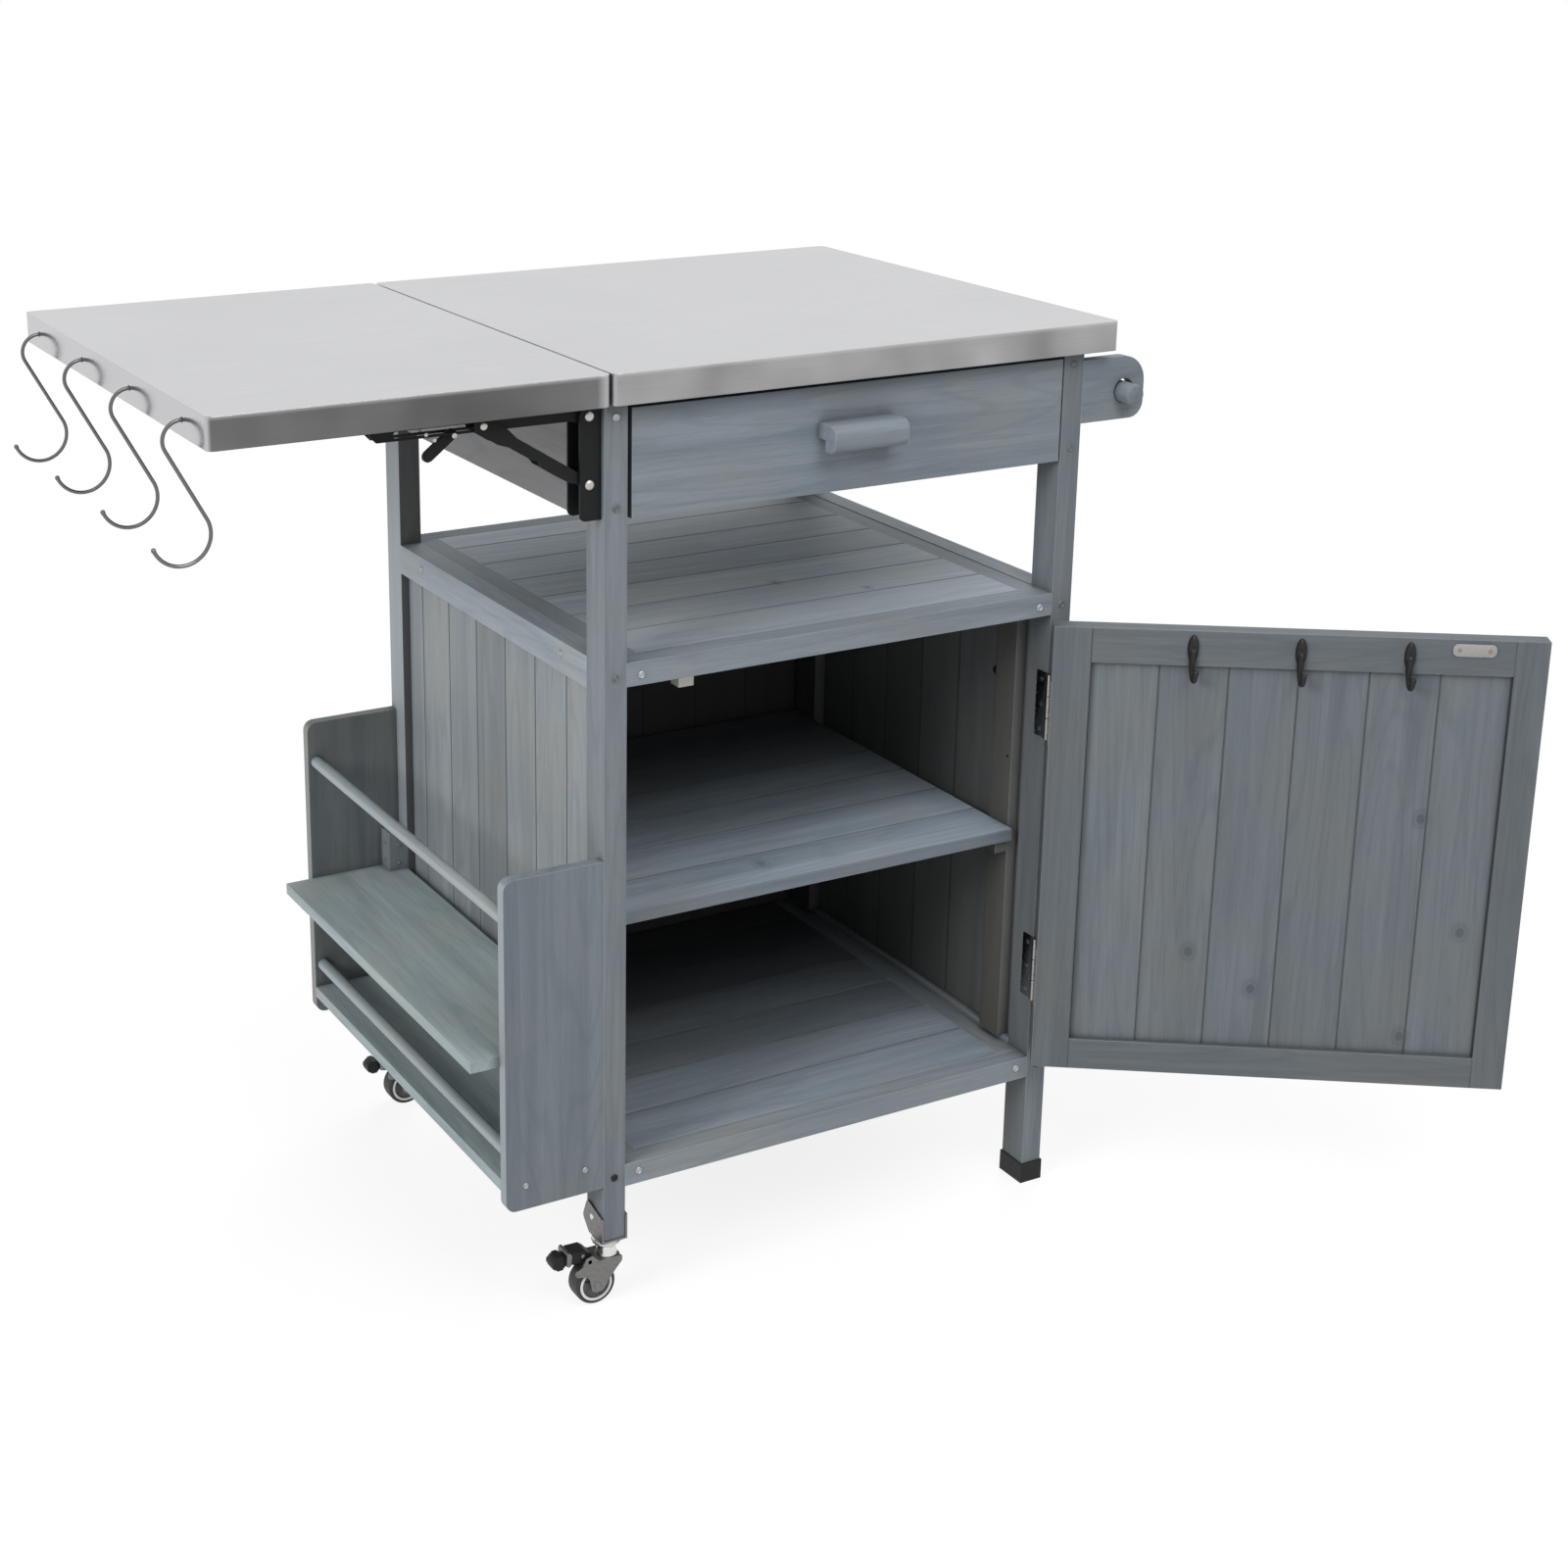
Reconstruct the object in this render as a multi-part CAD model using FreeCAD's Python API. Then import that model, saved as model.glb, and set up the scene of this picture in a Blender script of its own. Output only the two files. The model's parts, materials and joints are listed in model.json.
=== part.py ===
# Grill cart with storage: a wooden cart with a steel worktop, a folding side leaf,
# a drawer, an open bay, a cabinet, a bottle rack and a towel rod.
# Millimetres, +Z up. Sizes are first worked from the left posts' left face, the posts'
# front faces and the floor; the last step centres the cart over the origin.
import FreeCAD, Part
import math
import os

V = FreeCAD.Vector

# Carcass
BODY_W = 494.0  # over the posts, left to right
BODY_D = 464.0  # over the posts, front to back
TOP_Z = 870.0  # worktop above the floor
POST_W = 22.0
POST_D = 32.0
PLANK_T = 8.0
PLANK_PITCH = 62.5
GROOVE_W = 1.6  # V joint between two planks
TONGUE = 6.0  # how deep planks stand in the rails' grooves
FIT = 0.1  # wood in its groove
BOLT_R = 4.6
BOLT_H = 1.2
BOLT_TOP_DOWN = 39.5  # below the worktop
BOLT_APRON_UP = 18.0
BOLT_RAIL_DOWN = 12.0
BOLT_FLOOR_DOWN = 9.5
BOLT_RAIL_IN = 14.0
BOLT_SIDE_IN = 50.0
BOLT_RACK_IN = 19.0
SMALL_SIDES = 8  # flats on pins, rivets and small holes

# Steel worktop and leaf
PAN_H = 27.0
SHEET = 1.2
PAN_R = 6.0  # vertical corners of both pans
TOP_LEFT = 1.6
TOP_RIGHT_OVER = 27.0
TOP_OVER = 15.0  # front overhang
TOP_BACK_OVER = 21.0
LEAF_GAP = 2.5
LEAF_L = 344.1
LIP = 10.0
HOOK_HOLE_R = 2.5
HOOK_COUNT = 4
HOOK_FRONT_IN = 59.0  # first and last hook, inside the leaf's front and back
HOOK_BACK_IN = 44.5

# Aprons and drawer
APRON_T = 16.0
APRON_IN = 3.0  # aprons stand back from the posts' faces
APRON_H = 108.0
RUNNER_LEG = 10.0
RUNNER_H = 25.0
LEDGE_W = 16.0
LEDGE_T = 9.7
SLIDE_GAP = 0.3
DRAWER_LEFT_GAP = 4.3
DRAWER_RIGHT_GAP = 1.6
DRAWER_TOP_GAP = 6.0
DRAWER_T = 16.0
DRAWER_H = 95.0
DRAWER_SIDE_T = 12.0
DRAWER_SIDE_H = 80.0
DRAWER_BACK_GAP = 25.0  # behind the drawer, to the rear apron
DRAWER_FLOOR_T = 5.0
DRAWER_FLOOR_UP = 7.0
DRAWER_GROOVE = 5.0
HANDLE_W = 76.0
HANDLE_H = 24.0
HANDLE_OUT = 28.0
HANDLE_R = 9.0
HANDLE_NECK = 12.0  # the bar stands this far off
HANDLE_UNDERCUT = 10.0  # finger groove under the neck
HANDLE_UP = 52.0  # above the drawer front's lower edge

# Open shelf, cabinet floor and rails
SHELF_Z = 615.4
SHELF_RAIL_H = 21.4
SHELF_RAIL_T = 22.0
SIDE_RAIL_TOP = 616.0
SIDE_RAIL_H = 29.0
BATTEN_W = 28.0
REBATE = 6.0
BOARD_T = 11.0
FLOOR_Z = 139.0
FLOOR_RAIL_H = 22.0
FLOOR_RAIL_T = 20.0
LOW_RAIL_TOP = 145.0
LOW_RAIL_H = 26.0
SIDE_PLANK_IN = 8.0
FIRST_PLANK = 54.0
BACK_PLANK_IN = 16.0  # back planks' rear face inside the posts' rear faces

# Inside the cabinet
UPRIGHT_T = 12.0
UPRIGHT_W = 30.0
UPRIGHT_IN = 10.0
MID_SHELF_Z = 369.0
MID_SHELF_T = 12.0
MID_SHELF_GAP = 0.5
MID_SHELF_IN = 34.0  # from the front and back faces
CLEAT_H = 14.0
CLEAT_T = 14.0
CATCH_X = 84.0
CATCH_W = 15.0
CATCH_D = 12.0
CATCH_Z = 578.0
CATCH_H = 25.0
CATCH_REACH = 2.2
CATCH_UNDER = 1.0  # the nose passes this far under the rail

# Door, modelled closed and shown open
DOOR_SIDE_GAP = 2.5
DOOR_HINGE_GAP = 1.5
DOOR_Z = 141.5
DOOR_TOP = 591.0
DOOR_T = 18.0
HINGE_STILE = 35.0
LATCH_STILE = 30.0
DOOR_TOP_RAIL = 34.0
DOOR_LOW_RAIL = 31.0
DOOR_PLANKS = 6
DOOR_PLANK_IN = 5.0
DOOR_OPEN = 145.8  # degrees, as it stands in use
HINGE_H = 65.0
HINGE_ZS = (202.0, 472.0)
KNUCKLE_R = 3.0
KNUCKLES = 3
KNUCKLE_GAP = 0.3
PIN_R = 1.2
PIN_FIT = 0.05
LEAF_T = 0.6
LEAF_W = 16.0
DOOR_HOOK_COUNT = 3
HOOK_HINGE_IN = 127.0  # first and last door hook, inside the door's edges
HOOK_LATCH_IN = 124.0
DOOR_HOOK_TOP = 586.0
DOOR_HOOK_H = 50.0
DOOR_HOOK_T = 3.0
HOOK_HEAD_W = 10.0
HOOK_HEAD_H = 22.0
HOOK_STEM_W = 6.0
PRONG_T = 5.0
PRONG_OUT = 17.0
PRONG_RISE = 16.0
PRONG_TURN = 30.0  # degrees, from square to the door towards the latch
STRIKE_W = 39.0
STRIKE_H = 12.0
STRIKE_T = 1.2
STRIKE_Z = 581.0

# Feet
CAP_H = 20.8
CAP_T = 1.5
SOCKET_Z = 64.0
SOCKET_T = 2.0
SOCKET_FRONT = 1.0  # before the post's front face
SOCKET_LOW_D = 26.0
SOCKET_D = 38.0
SOCKET_RISE = 12.0
SOCKET_H = 32.0
SOCKET_BACK = 8.0
SOCKET_SLOPE = 7.0
SOCKET_R = 5.0
WHEEL_R = 20.0
WHEEL_W = 20.0
TREAD_EASE = 2.0
AXLE_R = 3.0
AXLE_FIT = 0.05
TRAIL = 15.0
STEM_R = 4.0
RACE_R = 14.0
RACE_H = 7.7
RACE_SIDES = 16
FORK_GAP = 1.0
FORK_T = 2.0
FORK_TOP = 45.0
FORK_LOBE = 7.0  # half the cheek's width round the axle
CROWN_AHEAD = 10.0
CROWN_BACK = 14.0
CROWN_LIP = 8.0
AXLE_OUT = 1.0
EAR = 5.0
EAR_DROP = 7.0
PEDAL_BACK = 23.0
PEDAL_Z = 47.0
PEDAL_HUB = 4.0
PEDAL_PIN = 2.0
PEDAL_L = 43.0
PEDAL_W = 18.0
PEDAL_T = 4.0
PEDAL_TURN_UP = 11.0
PEDAL_END = 7.0
SHOE_DROP = 7.0

# Rack on the left
RACK_T = 11.0
RACK_OUT = 97.0
RACK_Z = 121.0
RACK_TOP = 438.0
RACK_R = 10.0
RACK_FLOOR_TOP = 150.0
RACK_SHELF_TOP = 271.0
RACK_SHELF_OUT = 125.0
DOWEL_R = 6.0
DOWEL_IN = 9.0
DOWEL_ZS = (174.0, 396.0)
DOWEL_DEEP = 6.0
BLOCK = 20.0
BLOCK_H = 41.0

# Towel rod on the right
TOWEL_OUT = 71.0
TOWEL_DOWN = 9.6  # below the worktop's underside
TOWEL_H = 58.8
TOWEL_R_TOP = 25.0
TOWEL_R_LOW = 15.0
ROD_R = 10.0
ROD_HOLE_R = 11.5
ROD_X = 48.0
ROD_UP = 26.4  # hole above the bracket's lower edge
ROD_REST_GAP = 0.3
ROD_OVER = 22.0

# Folding bracket under the leaf, two alike
ARM_PIVOT_X = -11.0
ARM_PIVOT_DOWN = 10.4  # below the worktop's underside
PIVOT_SPAN = 58.3  # from the arm's pivot down to the strut's
BRACKET_Y = 17.0  # middle of a bracket behind the posts' front faces
PLATE = 2.0
ARM_W = 14.0
ARM_L = 193.0
ARM_H = 14.3
ARM_END_R = 7.0
ARM_BEVEL = 6.0
ARM_STEP = 8.0
STRUT_W = 19.0
STRUT_HALF = 6.5
STRUT_WEB = 1.6
UPRIGHT_PLATE_W = 24.0
UPRIGHT_PLATE_H = 99.5
UPRIGHT_PLATE_R = 5.0
UPRIGHT_PLATE_OUT = 20.0
UPRIGHT_NOSE = 9.5
RIVET_R = 2.5
RIVET_HEAD = 4.5
RIVET_OUT = 2.0
RIVET_FIT = 0.05
STRUT_END = (-94.5, 0.9)  # from the arm's pivot
STRUT_END_R = 8.5
STRUT_WIDE = 22.0  # length of the wide upper end
STRUT_TAPER = 11.0
STRUT_BEVEL = 2.5  # half the flat at the tip
STRUT_WEB_START = 13.0
STRUT_WEB_L = 35.0
SLOT_W = 5.6
SLOT_END = 170.0
LEVER_PIVOT = (-119.3, -4.7)  # from the arm's pivot
LEVER_TIP = (-21.1, -16.5)  # from its own pivot
LEVER_T = 4.0
LEVER_HUB = 4.5
LEVER_PIN = 1.9
LEVER_NOSE = 2.0
LEAF_BATTEN_W = 18.0
LEAF_BATTEN_IN = 20.0
LEAF_BATTEN_GAP = 1.0

# Hooks of round wire
HOOK_WIRE = 1.5
HOOK_TOP_R = 16.0
HOOK_LOW_R = 24.4
HOOK_DROP = 76.5
HOOK_SHIFT = -4.6
HOOK_INNER = 45.0  # where the top loop ends, degrees above level
HOOK_TIP = 197.0
HOOK_SIDES = 6
HOOK_STEP = 18.0  # degrees of a loop between two bends of its line

# Worked out from the sizes above
CARCASS_Z = TOP_Z - PAN_H
APRON_Z = CARCASS_Z - APRON_H
DRAWER_Z = CARCASS_Z - DRAWER_TOP_GAP - DRAWER_H
DRAWER_L = BODY_D - APRON_IN - APRON_T - DRAWER_BACK_GAP
HANDLE_Z = DRAWER_Z + HANDLE_UP
TOWEL_TOP = CARCASS_Z - TOWEL_DOWN
TOWEL_Z = TOWEL_TOP - TOWEL_H
ROD_HOLE_Z = TOWEL_Z + ROD_UP
ARM_PIVOT_Z = CARCASS_Z - ARM_PIVOT_DOWN
STRUT_PIVOT_Z = ARM_PIVOT_Z - PIVOT_SPAN
UPRIGHT_PLATE_Z = CARCASS_Z - UPRIGHT_PLATE_H
IN_LEFT = POST_W
IN_RIGHT = BODY_W - POST_W
IN_FRONT = POST_D
IN_BACK = BODY_D - POST_D
MID_X = BODY_W / 2
MID_Y = BODY_D / 2
LEFT_POST_Z = SOCKET_Z + SOCKET_T
TOP_RIGHT = BODY_W + TOP_RIGHT_OVER
TOP_FRONT = -TOP_OVER
TOP_BACK = BODY_D + TOP_BACK_OVER
LEAF_RIGHT = TOP_LEFT - LEAF_GAP
LEAF_LEFT = LEAF_RIGHT - LEAF_L
DOOR_LEFT = IN_LEFT + DOOR_SIDE_GAP
DOOR_RIGHT = IN_RIGHT - DOOR_HINGE_GAP
HINGE_X = IN_RIGHT - DOOR_HINGE_GAP / 2
HINGE_Y = -KNUCKLE_R - KNUCKLE_GAP
ROD_Z = ROD_HOLE_Z - ROD_HOLE_R + ROD_R + ROD_REST_GAP
CASTER_X = POST_W / 2
CASTER_Y = POST_D / 2
WHEEL_X = CASTER_X - TRAIL
PEDAL_X = CASTER_X - PEDAL_BACK
HOOK_X = LEAF_LEFT - 0.4
HOOK_Z = CARCASS_Z + PAN_H / 2 - HOOK_TOP_R
STRUT_LEN = math.hypot(STRUT_END[0], ARM_PIVOT_Z + STRUT_END[1] - STRUT_PIVOT_Z)


def box(x0, x1, y0, y1, z0, z1):
    return Part.makeBox(x1 - x0, y1 - y0, z1 - z0, V(x0, y0, z0))


def cylinder(start, end, radius):
    along = end - start
    return Part.makeCylinder(radius, along.Length, start, along)


# A pin, or the hole for one, as a many-sided prism; a hole's flats stay outside its radius
def smallRound(start, end, radius, isHole=False, sides=SMALL_SIDES):
    along = end - start
    reach = radius / math.cos(math.pi / sides) if isHole else radius
    side = V(1, 0, 0) if abs(along.x) < abs(along.z) + abs(along.y) else V(0, 0, 1)
    across = along.cross(side).normalize()
    other = along.cross(across).normalize()
    corners = []
    for i in range(sides):
        angle = 2 * math.pi * i / sides
        corners.append(start + across * (reach * math.cos(angle)) + other * (reach * math.sin(angle)))
    return Part.Face(Part.makePolygon(corners + corners[:1])).extrude(along)


def mirrorX(shape):
    return shape.mirror(V(MID_X, 0, 0), V(1, 0, 0))


def mirrorY(shape):
    return shape.mirror(V(0, MID_Y, 0), V(0, 1, 0))


def bothSides(shape):
    return [shape, mirrorX(shape)]


def frontAndBack(shape):
    return [shape, mirrorY(shape)]


# A closed flat wire through corner points, each rounded by its own radius
def roundedWire(points, radii):
    corners = [V(p[0], p[1], 0) for p in points]
    stops = []
    for i, corner in enumerate(corners):
        radius = radii[i]
        if radius <= 0:
            stops.append((corner, None, corner))
            continue
        back = (corners[i - 1] - corner).normalize()
        ahead = (corners[(i + 1) % len(corners)] - corner).normalize()
        half = back.getAngle(ahead) / 2
        reach = radius / math.tan(half)
        inward = (back + ahead).normalize()
        middle = corner + inward * (radius / math.sin(half) - radius)
        stops.append((corner + back * reach, middle, corner + ahead * reach))
    edges = []
    for i, (enter, middle, leave) in enumerate(stops):
        if middle is not None:
            edges.append(Part.Arc(enter, middle, leave).toShape())
        following = stops[(i + 1) % len(stops)][0]
        if leave.distanceToPoint(following) > 1e-6:
            edges.append(Part.LineSegment(leave, following).toShape())
    return Part.Wire(edges)


# A plate of the outline's shape: its points are (x, z), (y, z) or (x, y)
def plate(plane, points, low, high, radii=None):
    wire = roundedWire(points, radii or [0] * len(points))
    slab = Part.Face(wire).extrude(V(0, 0, high - low))
    if plane == "XZ":
        slab.rotate(V(0, 0, 0), V(1, 0, 0), 90)
        slab.translate(V(0, high, 0))
    elif plane == "YZ":
        slab.rotate(V(0, 0, 0), V(1, 0, 0), 90)
        slab.rotate(V(0, 0, 0), V(0, 0, 1), 90)
        slab.translate(V(low, 0, 0))
    else:
        slab.translate(V(0, 0, low))
    return slab


# Planks side by side from low to high, with V joints on the faces that show
def plankEdges(low, high, pitch, first=None):
    edges = [low]
    step = first if first else pitch
    while edges[-1] + step < high - pitch * 0.3:
        edges.append(edges[-1] + step)
        step = pitch
    edges.append(high)
    return list(zip(edges[:-1], edges[1:]))


def plankProfile(low, high, back, front, chamferFront=True, chamferBack=False):
    v = GROOVE_W / 2
    points = [(low, back), (high, back), (high, front), (low, front)]
    out = []
    for (u, w) in points:
        isFront = w == front
        chamfer = chamferFront if isFront else chamferBack
        if not chamfer:
            out.append((u, w))
            continue
        inner = u + v if u == low else u - v
        toward = w - v if front > back else w + v
        if not isFront:
            toward = w + v if front > back else w - v
        sideways = (u, toward)
        flat = (inner, w)
        startsHere = (u == low) == isFront
        out.extend([flat, sideways] if startsHere else [sideways, flat])
    return out


# Carcass

def makePost(x, y, foot):
    return box(x, x + POST_W, y, y + POST_D, foot, CARCASS_Z)


def makePan(left, right, lips):
    corners = [(left, TOP_FRONT), (right, TOP_FRONT), (right, TOP_BACK), (left, TOP_BACK)]
    outer = plate("XY", corners, CARCASS_Z, TOP_Z, [PAN_R] * 4)
    s = SHEET
    inner = [(left + s, TOP_FRONT + s), (right - s, TOP_FRONT + s)]
    inner += [(right - s, TOP_BACK - s), (left + s, TOP_BACK - s)]
    floor = CARCASS_Z + s if lips else CARCASS_Z
    pan = outer.cut(plate("XY", inner, floor, TOP_Z - s, [PAN_R - s] * 4))
    if lips:
        mouth = [(left + LIP, TOP_FRONT + LIP), (right - LIP, TOP_FRONT + LIP)]
        mouth += [(right - LIP, TOP_BACK - LIP), (left + LIP, TOP_BACK - LIP)]
        pan = pan.cut(plate("XY", mouth, CARCASS_Z, floor))
    return pan


def makeWorktopCore():
    s = SHEET
    corners = [(TOP_LEFT + s, TOP_FRONT + s), (TOP_RIGHT - s, TOP_FRONT + s)]
    corners += [(TOP_RIGHT - s, TOP_BACK - s), (TOP_LEFT + s, TOP_BACK - s)]
    return plate("XY", corners, CARCASS_Z, TOP_Z - s, [PAN_R - s] * 4)


def makeSideApron():
    return box(APRON_IN, APRON_IN + APRON_T, IN_FRONT, IN_BACK, APRON_Z, CARCASS_Z)


def makeRearApron():
    back = BODY_D - APRON_IN
    return box(IN_LEFT, IN_RIGHT, back - APRON_T, back, APRON_Z, CARCASS_Z)


# L-shaped wooden runner screwed to the apron; the drawer's side slides on its ledge
def makeRunner():
    x = APRON_IN + APRON_T
    points = [(x, APRON_Z), (x + RUNNER_LEG + LEDGE_W, APRON_Z)]
    points += [(x + RUNNER_LEG + LEDGE_W, APRON_Z + LEDGE_T), (x + RUNNER_LEG, APRON_Z + LEDGE_T)]
    points += [(x + RUNNER_LEG, APRON_Z + RUNNER_H), (x, APRON_Z + RUNNER_H)]
    return plate("XZ", points, IN_FRONT, IN_BACK)


# Frames of the open shelf and the cabinet floor

def makeCrossRails(top, height, depth):
    front = box(IN_LEFT, IN_RIGHT, 0, depth, top - height, top)
    return frontAndBack(front)


def makeBattens(top, height, railDepth):
    low = top - height
    right = IN_LEFT + BATTEN_W
    points = [(IN_LEFT, low), (right, low), (right, top - BOARD_T)]
    points += [(right - REBATE, top - BOARD_T), (right - REBATE, top), (IN_LEFT, top)]
    return bothSides(plate("XZ", points, railDepth, BODY_D - railDepth))


def makeFloorBoards(top, railDepth):
    left = IN_LEFT + BATTEN_W - REBATE
    boards = []
    for low, high in plankEdges(railDepth, BODY_D - railDepth, PLANK_PITCH):
        profile = plankProfile(low, high, top - BOARD_T, top)
        boards.append(plate("YZ", profile, left, BODY_W - left))
    return boards


def sideGroove(top, bottom):
    x = SIDE_PLANK_IN
    return box(x - FIT, x + PLANK_T + FIT, IN_FRONT, IN_BACK, bottom, top)


def makeSideRails():
    upper = box(0, POST_W, IN_FRONT, IN_BACK, SIDE_RAIL_TOP - SIDE_RAIL_H, SIDE_RAIL_TOP)
    low = SIDE_RAIL_TOP - SIDE_RAIL_H
    upper = upper.cut(sideGroove(low + TONGUE, low))
    lower = box(0, POST_W, IN_FRONT, IN_BACK, LOW_RAIL_TOP - LOW_RAIL_H, LOW_RAIL_TOP)
    lower = lower.cut(sideGroove(LOW_RAIL_TOP, LOW_RAIL_TOP - TONGUE))
    return bothSides(upper) + bothSides(lower)


def makeSidePlanks():
    planks = []
    bottom = LOW_RAIL_TOP - TONGUE
    top = SIDE_RAIL_TOP - SIDE_RAIL_H + TONGUE
    for low, high in plankEdges(IN_FRONT, IN_BACK, PLANK_PITCH, FIRST_PLANK):
        inner = SIDE_PLANK_IN + PLANK_T
        profile = [(x, y) for (y, x) in plankProfile(low, high, inner, SIDE_PLANK_IN)]
        planks.append(plate("XY", profile[::-1], bottom, top))
    return planks + [mirrorX(plank) for plank in planks]


def makeBackPlanks():
    planks = []
    rear = BODY_D - BACK_PLANK_IN
    width = (IN_RIGHT - IN_LEFT) / round((IN_RIGHT - IN_LEFT) / PLANK_PITCH)
    for low, high in plankEdges(IN_LEFT, IN_RIGHT, width):
        profile = plankProfile(low, high, rear - PLANK_T, rear)
        planks.append(plate("XY", profile, FLOOR_Z, SHELF_Z - SHELF_RAIL_H))
    return planks


# Uprights inside the cabinet, which carry the middle shelf's cleats
def makeInnerUprights():
    x = SIDE_PLANK_IN + PLANK_T
    low = LOW_RAIL_TOP
    high = SIDE_RAIL_TOP - SIDE_RAIL_H
    y = IN_FRONT + UPRIGHT_IN
    post = box(x, x + UPRIGHT_T, y, y + UPRIGHT_W, low, high)
    return bothSides(post) + [mirrorY(each) for each in bothSides(post)]


def makeCleats():
    x = SIDE_PLANK_IN + PLANK_T + UPRIGHT_T
    top = MID_SHELF_Z - MID_SHELF_T
    y = IN_FRONT + UPRIGHT_IN
    return bothSides(box(x, x + CLEAT_T, y, BODY_D - y, top - CLEAT_H, top))


def makeMidShelf():
    x = SIDE_PLANK_IN + PLANK_T + UPRIGHT_T + MID_SHELF_GAP
    boards = []
    for low, high in plankEdges(MID_SHELF_IN, BODY_D - MID_SHELF_IN, PLANK_PITCH):
        profile = plankProfile(low, high, MID_SHELF_Z - MID_SHELF_T, MID_SHELF_Z)
        boards.append(plate("YZ", profile, x, BODY_W - x))
    return boards


# The catch hangs behind the shelf's front rail; its nose meets the door's strike plate
def makeCatch():
    y = SHELF_RAIL_T
    right = CATCH_X + CATCH_W
    body = box(CATCH_X, right, y, y + CATCH_D, CATCH_Z, CATCH_Z + CATCH_H)
    nose = box(CATCH_X, right, y - CATCH_REACH, y, CATCH_Z, SHELF_Z - SHELF_RAIL_H - CATCH_UNDER)
    return body.fuse(nose).removeSplitter()


# Feet

def makeFootCap():
    x = IN_RIGHT
    t = CAP_T
    corners = [(x - t, -t), (BODY_W + t, -t), (BODY_W + t, POST_D + t), (x - t, POST_D + t)]
    cap = plate("XY", corners, 0, CAP_H)
    return cap.cut(box(x, BODY_W, 0, POST_D, t, CAP_H))


# U-shaped socket: two ears hold the post, the web between them takes the caster
def makeCasterSocket():
    t = SOCKET_T
    low = SOCKET_Z
    front = -SOCKET_FRONT
    ear = [(front, low), (front + SOCKET_LOW_D, low), (front + SOCKET_D, low + SOCKET_RISE)]
    ear += [(front + SOCKET_D - SOCKET_BACK, low + SOCKET_H), (front, low + SOCKET_H - SOCKET_SLOPE)]
    radii = [0, 0, SOCKET_R, SOCKET_R, 0]
    outer = plate("YZ", ear, -t, 0, radii)
    inner = plate("YZ", ear, POST_W, POST_W + t, radii)
    web = box(-t, POST_W + t, front, front + SOCKET_LOW_D, low, low + t)
    socket = outer.fuse([inner, web]).removeSplitter()
    start = V(CASTER_X, CASTER_Y, low - t)
    return socket.cut(smallRound(start, start + V(0, 0, 3 * t), STEM_R + AXLE_FIT, True))


# Pressed fork: two cheeks, a crown over the wheel, the swivel race and its stem
def makeCasterFork():
    half = WHEEL_W / 2 + FORK_GAP
    middle = CASTER_Y
    ahead = CASTER_X + CROWN_AHEAD
    cheek = [(WHEEL_X - FORK_LOBE, WHEEL_R - FORK_LOBE), (WHEEL_X + FORK_LOBE, WHEEL_R - FORK_LOBE)]
    cheek += [(ahead, FORK_TOP - CROWN_LIP), (ahead, FORK_TOP), (PEDAL_X + EAR, FORK_TOP)]
    cheek += [(PEDAL_X + EAR, PEDAL_Z + EAR), (PEDAL_X - EAR, PEDAL_Z + EAR)]
    cheek += [(PEDAL_X - EAR, PEDAL_Z - EAR_DROP)]
    lobe = FORK_LOBE * 0.9
    radii = [lobe, lobe, 0, 0, 0, 0, 0, 0]
    low = plate("XZ", cheek, middle - half - FORK_T, middle - half, radii)
    high = plate("XZ", cheek, middle + half, middle + half + FORK_T, radii)
    crown = box(CASTER_X - CROWN_BACK, ahead, middle - half, middle + half, FORK_TOP - FORK_T, FORK_TOP)
    raceLow = SOCKET_Z - SLIDE_GAP - RACE_H
    neck = smallRound(V(CASTER_X, middle, FORK_TOP - FORK_T), V(CASTER_X, middle, raceLow), RACE_R * 0.7)
    raceAt = V(CASTER_X, middle, raceLow)
    race = smallRound(raceAt, raceAt + V(0, 0, RACE_H), RACE_R, False, RACE_SIDES)
    stem = smallRound(V(CASTER_X, middle, raceLow), V(CASTER_X, middle, LEFT_POST_Z - SLIDE_GAP), STEM_R)
    outside = half + FORK_T + AXLE_OUT
    axle = smallRound(V(WHEEL_X, middle - outside, WHEEL_R), V(WHEEL_X, middle + outside, WHEEL_R), AXLE_R)
    reach = half + FORK_T
    pin = smallRound(V(PEDAL_X, middle - reach, PEDAL_Z), V(PEDAL_X, middle + reach, PEDAL_Z), PEDAL_PIN)
    return low.fuse([high, crown, neck, race, stem, axle, pin]).removeSplitter()


# Solid wheel turned with an eased tread
def makeWheel():
    half = WHEEL_W / 2
    flank = WHEEL_R - TREAD_EASE
    points = [V(0, -half, 0), V(flank, -half, 0), V(WHEEL_R, -half + TREAD_EASE, 0)]
    points += [V(WHEEL_R, half - TREAD_EASE, 0), V(flank, half, 0), V(0, half, 0)]
    wire = Part.makePolygon(points + points[:1])
    wheel = Part.Face(wire).revolve(V(0, 0, 0), V(0, 1, 0), 360)
    wheel = wheel.cut(smallRound(V(0, -WHEEL_W, 0), V(0, WHEEL_W, 0), AXLE_R + AXLE_FIT, True))
    wheel.translate(V(WHEEL_X, CASTER_Y, WHEEL_R))
    return wheel


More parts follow.
